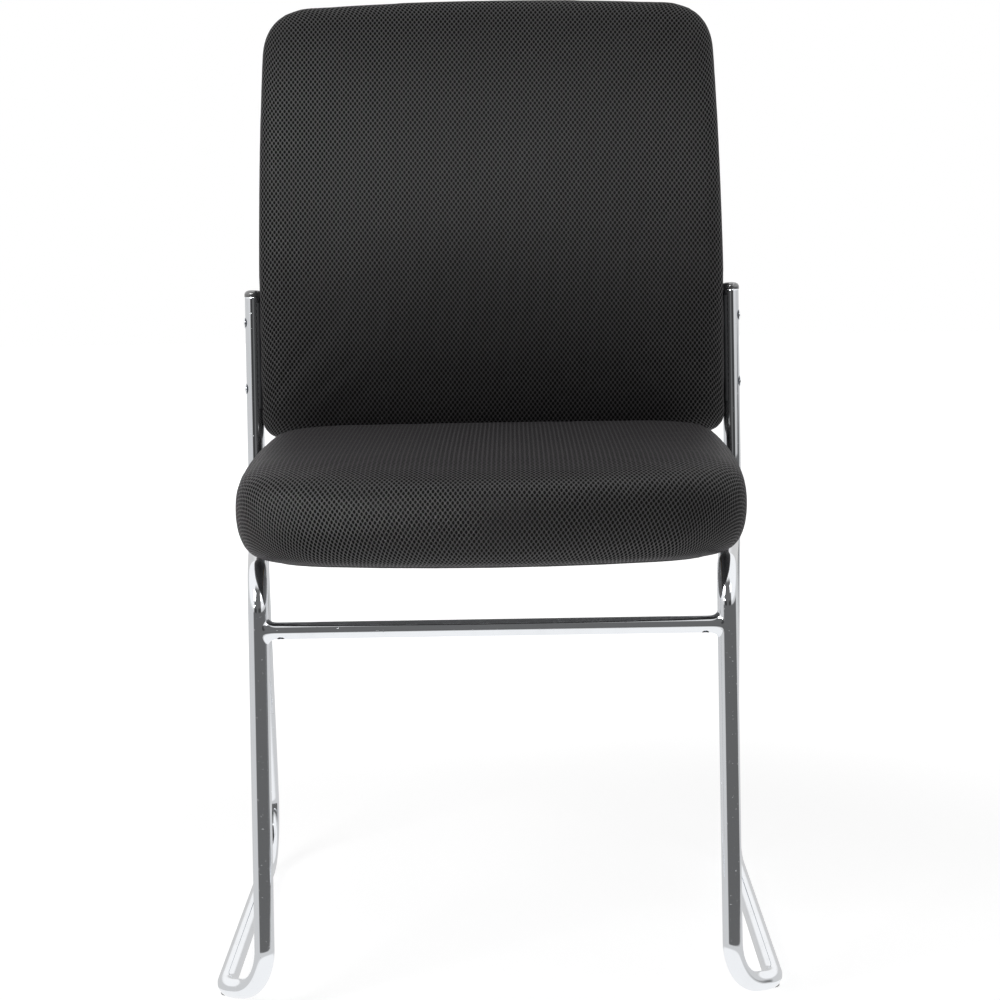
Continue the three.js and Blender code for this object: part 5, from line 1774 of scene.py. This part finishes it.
@dataclass
class Studio:
    """Camera, floor, backdrop and lamps, set as the photograph shows the chair."""

    lens: float = 82.358
    pitch: float = 7.773
    roll: float = 0.9836
    yaw: float = 0.3806
    across: float = 8.1271
    height: float = 738.0
    distance: float = 2000.0
    floor_half: float = 9.0

    def build(self) -> None:
        """Builds the camera first, then floor, world and lamps."""
        self.camera()
        self.floor()
        self.world()
        self.lamps()
        bpy.context.scene.view_settings.view_transform = "Standard"

    def camera(self) -> None:
        """Stands the camera where the photograph was taken from."""
        pitch, roll, yaw = (math.radians(a) for a in (self.pitch, self.roll, self.yaw))
        aim = Vector((0.0, math.cos(pitch), -math.sin(pitch)))
        up = Vector((0.0, math.sin(pitch), math.cos(pitch)))
        right = Vector((1.0, 0.0, 0.0))
        right, up = right * math.cos(roll) - up * math.sin(roll), right * math.sin(roll) + up * math.cos(roll)
        spot = Vector((self.across, -self.distance, self.height))
        turn = Matrix.Rotation(yaw, 3, "Z")
        right, up, aim, spot = (turn @ v for v in (right, up, aim, spot))
        view = bpy.data.cameras.new("camera")
        view.lens, view.sensor_width, view.clip_end = self.lens, 36.0, 60.0
        thing = stand("camera", view)
        place = Matrix((right, up, -aim)).transposed().to_4x4()
        place.translation = Vector(to_row(np.array(spot)))
        thing.matrix_world = place
        bpy.context.scene.camera = thing

    def floor(self) -> None:
        """A wide white floor that keeps the chair's shadow; the metal sees the room's own lower half."""
        half = self.floor_half
        mesh = bpy.data.meshes.new("floor")
        corners = [(-half, -half, 0), (half, -half, 0), (half, half, 0), (-half, half, 0)]
        mesh.from_pydata(corners, [], [(0, 1, 2, 3)])
        made = bpy.data.materials.new("white_floor")
        board = Board.of(made)

        def lit(tone: float, strength: float | Socket) -> Socket:
            matt = board.out("ShaderNodeBsdfDiffuse", {"Color": grey(tone)})
            glow = board.out("ShaderNodeEmission", {"Color": WHITE, "Strength": strength})
            return board.out("ShaderNodeAddShader", {0: matt, 1: glow})

        paths = board.add("ShaderNodeLightPath").outputs
        far = board.length(board.out("ShaderNodeTexCoord", which="Object"))
        shown = lit(0.5, board.ramp(far, 0.5, 1.5, 0.81, 1.0))
        solid = board.blend(paths["Is Camera Ray"], lit(0.78, 0.45), shown)
        clear = board.math("MAXIMUM", paths["Is Glossy Ray"], paths["Is Transmission Ray"])
        clear = board.math("MAXIMUM", clear, board.out("ShaderNodeNewGeometry", which="Backfacing"))
        final = board.blend(clear, solid, board.out("ShaderNodeBsdfTransparent"))
        board.add("ShaderNodeOutputMaterial", {"Surface": final})
        mesh.materials.append(made)
        stand("floor", mesh)

    def world(self) -> None:
        """A white room in which metal sees a dark front, and a dark band low down and to the right."""
        room = bpy.data.worlds.new("white_room")
        bpy.context.scene.world = room
        board = Board.of(room)
        x, y, z = board.parts(board.out("ShaderNodeTexCoord", which="Generated"))
        turn = board.math("ARCTAN2", x, board.times(y, -1.0))
        band = board.window(turn, (-0.95, -0.75), (1.75, 1.95))
        band = board.times(band, board.window(z, (-0.27, -0.25), (0.0, 0.06)))
        ahead = board.window(turn, (-0.8, -0.6), (0.6, 0.8))
        ahead = board.times(ahead, board.window(z, (-0.1, 0.0), (0.8, 0.95)))
        walls = board.mix(board.ramp(z, -0.4, -0.34), grey(0.95), grey(0.64))
        walls = board.mix(board.ramp(z, 0.08, 0.22), walls, grey(0.98))
        beside = board.ramp(board.math("ABSOLUTE", turn), 0.12, 0.2)
        beside = board.times(beside, board.ramp(z, 0.15, 0.25, 1.0, 0.0))
        dim = board.mix(ahead, walls, board.mix(beside, grey(0.14), grey(0.05)))
        seen = board.mix(band, dim, grey(0.13))
        glossy, light, white = (
            board.out("ShaderNodeBackground", {"Color": colour, "Strength": strength})
            for colour, strength in ((seen, 1.0), (WHITE, 0.25), (WHITE, 1.0))
        )
        paths = board.add("ShaderNodeLightPath").outputs
        first = board.blend(paths["Is Glossy Ray"], light, glossy)
        clear = board.math("MAXIMUM", paths["Is Camera Ray"], paths["Is Transmission Ray"])
        board.add("ShaderNodeOutputWorld", {"Surface": board.blend(clear, first, white)})

    def lamps(self) -> None:
        """Soft boxes over and beside the camera: place, aim, width, height, watts and spread in degrees."""
        plan = {
            "key_box": ((-1.3, -1.6, 1.7), (0.0, 0.0, 0.5), 0.8, 0.8, 15.0, 180.0),
            "fill_box": ((1.3, -1.6, 1.7), (0.0, 0.0, 0.5), 0.7, 0.7, 2.0, 180.0),
            "front_strip": ((-0.2, -2.3, 2.0), (0.0, 0.2, 0.77), 1.9, 0.15, 0.45, 9.0),
            "seat_strip": ((-1.3, -1.9, 0.9), (-0.05, -0.33, 0.45), 0.8, 0.1, 0.2, 6.0),
            "top_box": ((0.0, 0.1, 2.6), (0.0, 0.0, 0.4), 1.6, 1.6, 2.3, 180.0),
        }
        for name, (spot, aim, wide, tall, power, spread) in plan.items():
            lamp = bpy.data.lights.new(name, "AREA")
            lamp.shape, lamp.size, lamp.size_y, lamp.energy = "RECTANGLE", wide, tall, power
            lamp.spread = math.radians(spread)
            thing = stand(name, lamp)
            thing.location = spot
            thing.rotation_euler = (Vector(aim) - Vector(spot)).to_track_quat("-Z", "Y").to_euler()


def main() -> None:
    """Builds the studio and every piece of the chair, in order."""
    logging.basicConfig(level=logging.INFO, format="%(name)s: %(message)s")
    shell = RearShell()
    for part in (Studio(), SideFrames(), Crossbars(), EndFittings(), SeatPad(), BackPad(), shell):
        part.build()
    Fasteners().build(shell)
    Staples().build()
    dress_carried_nodes()


if __name__ == "__main__":
    main()
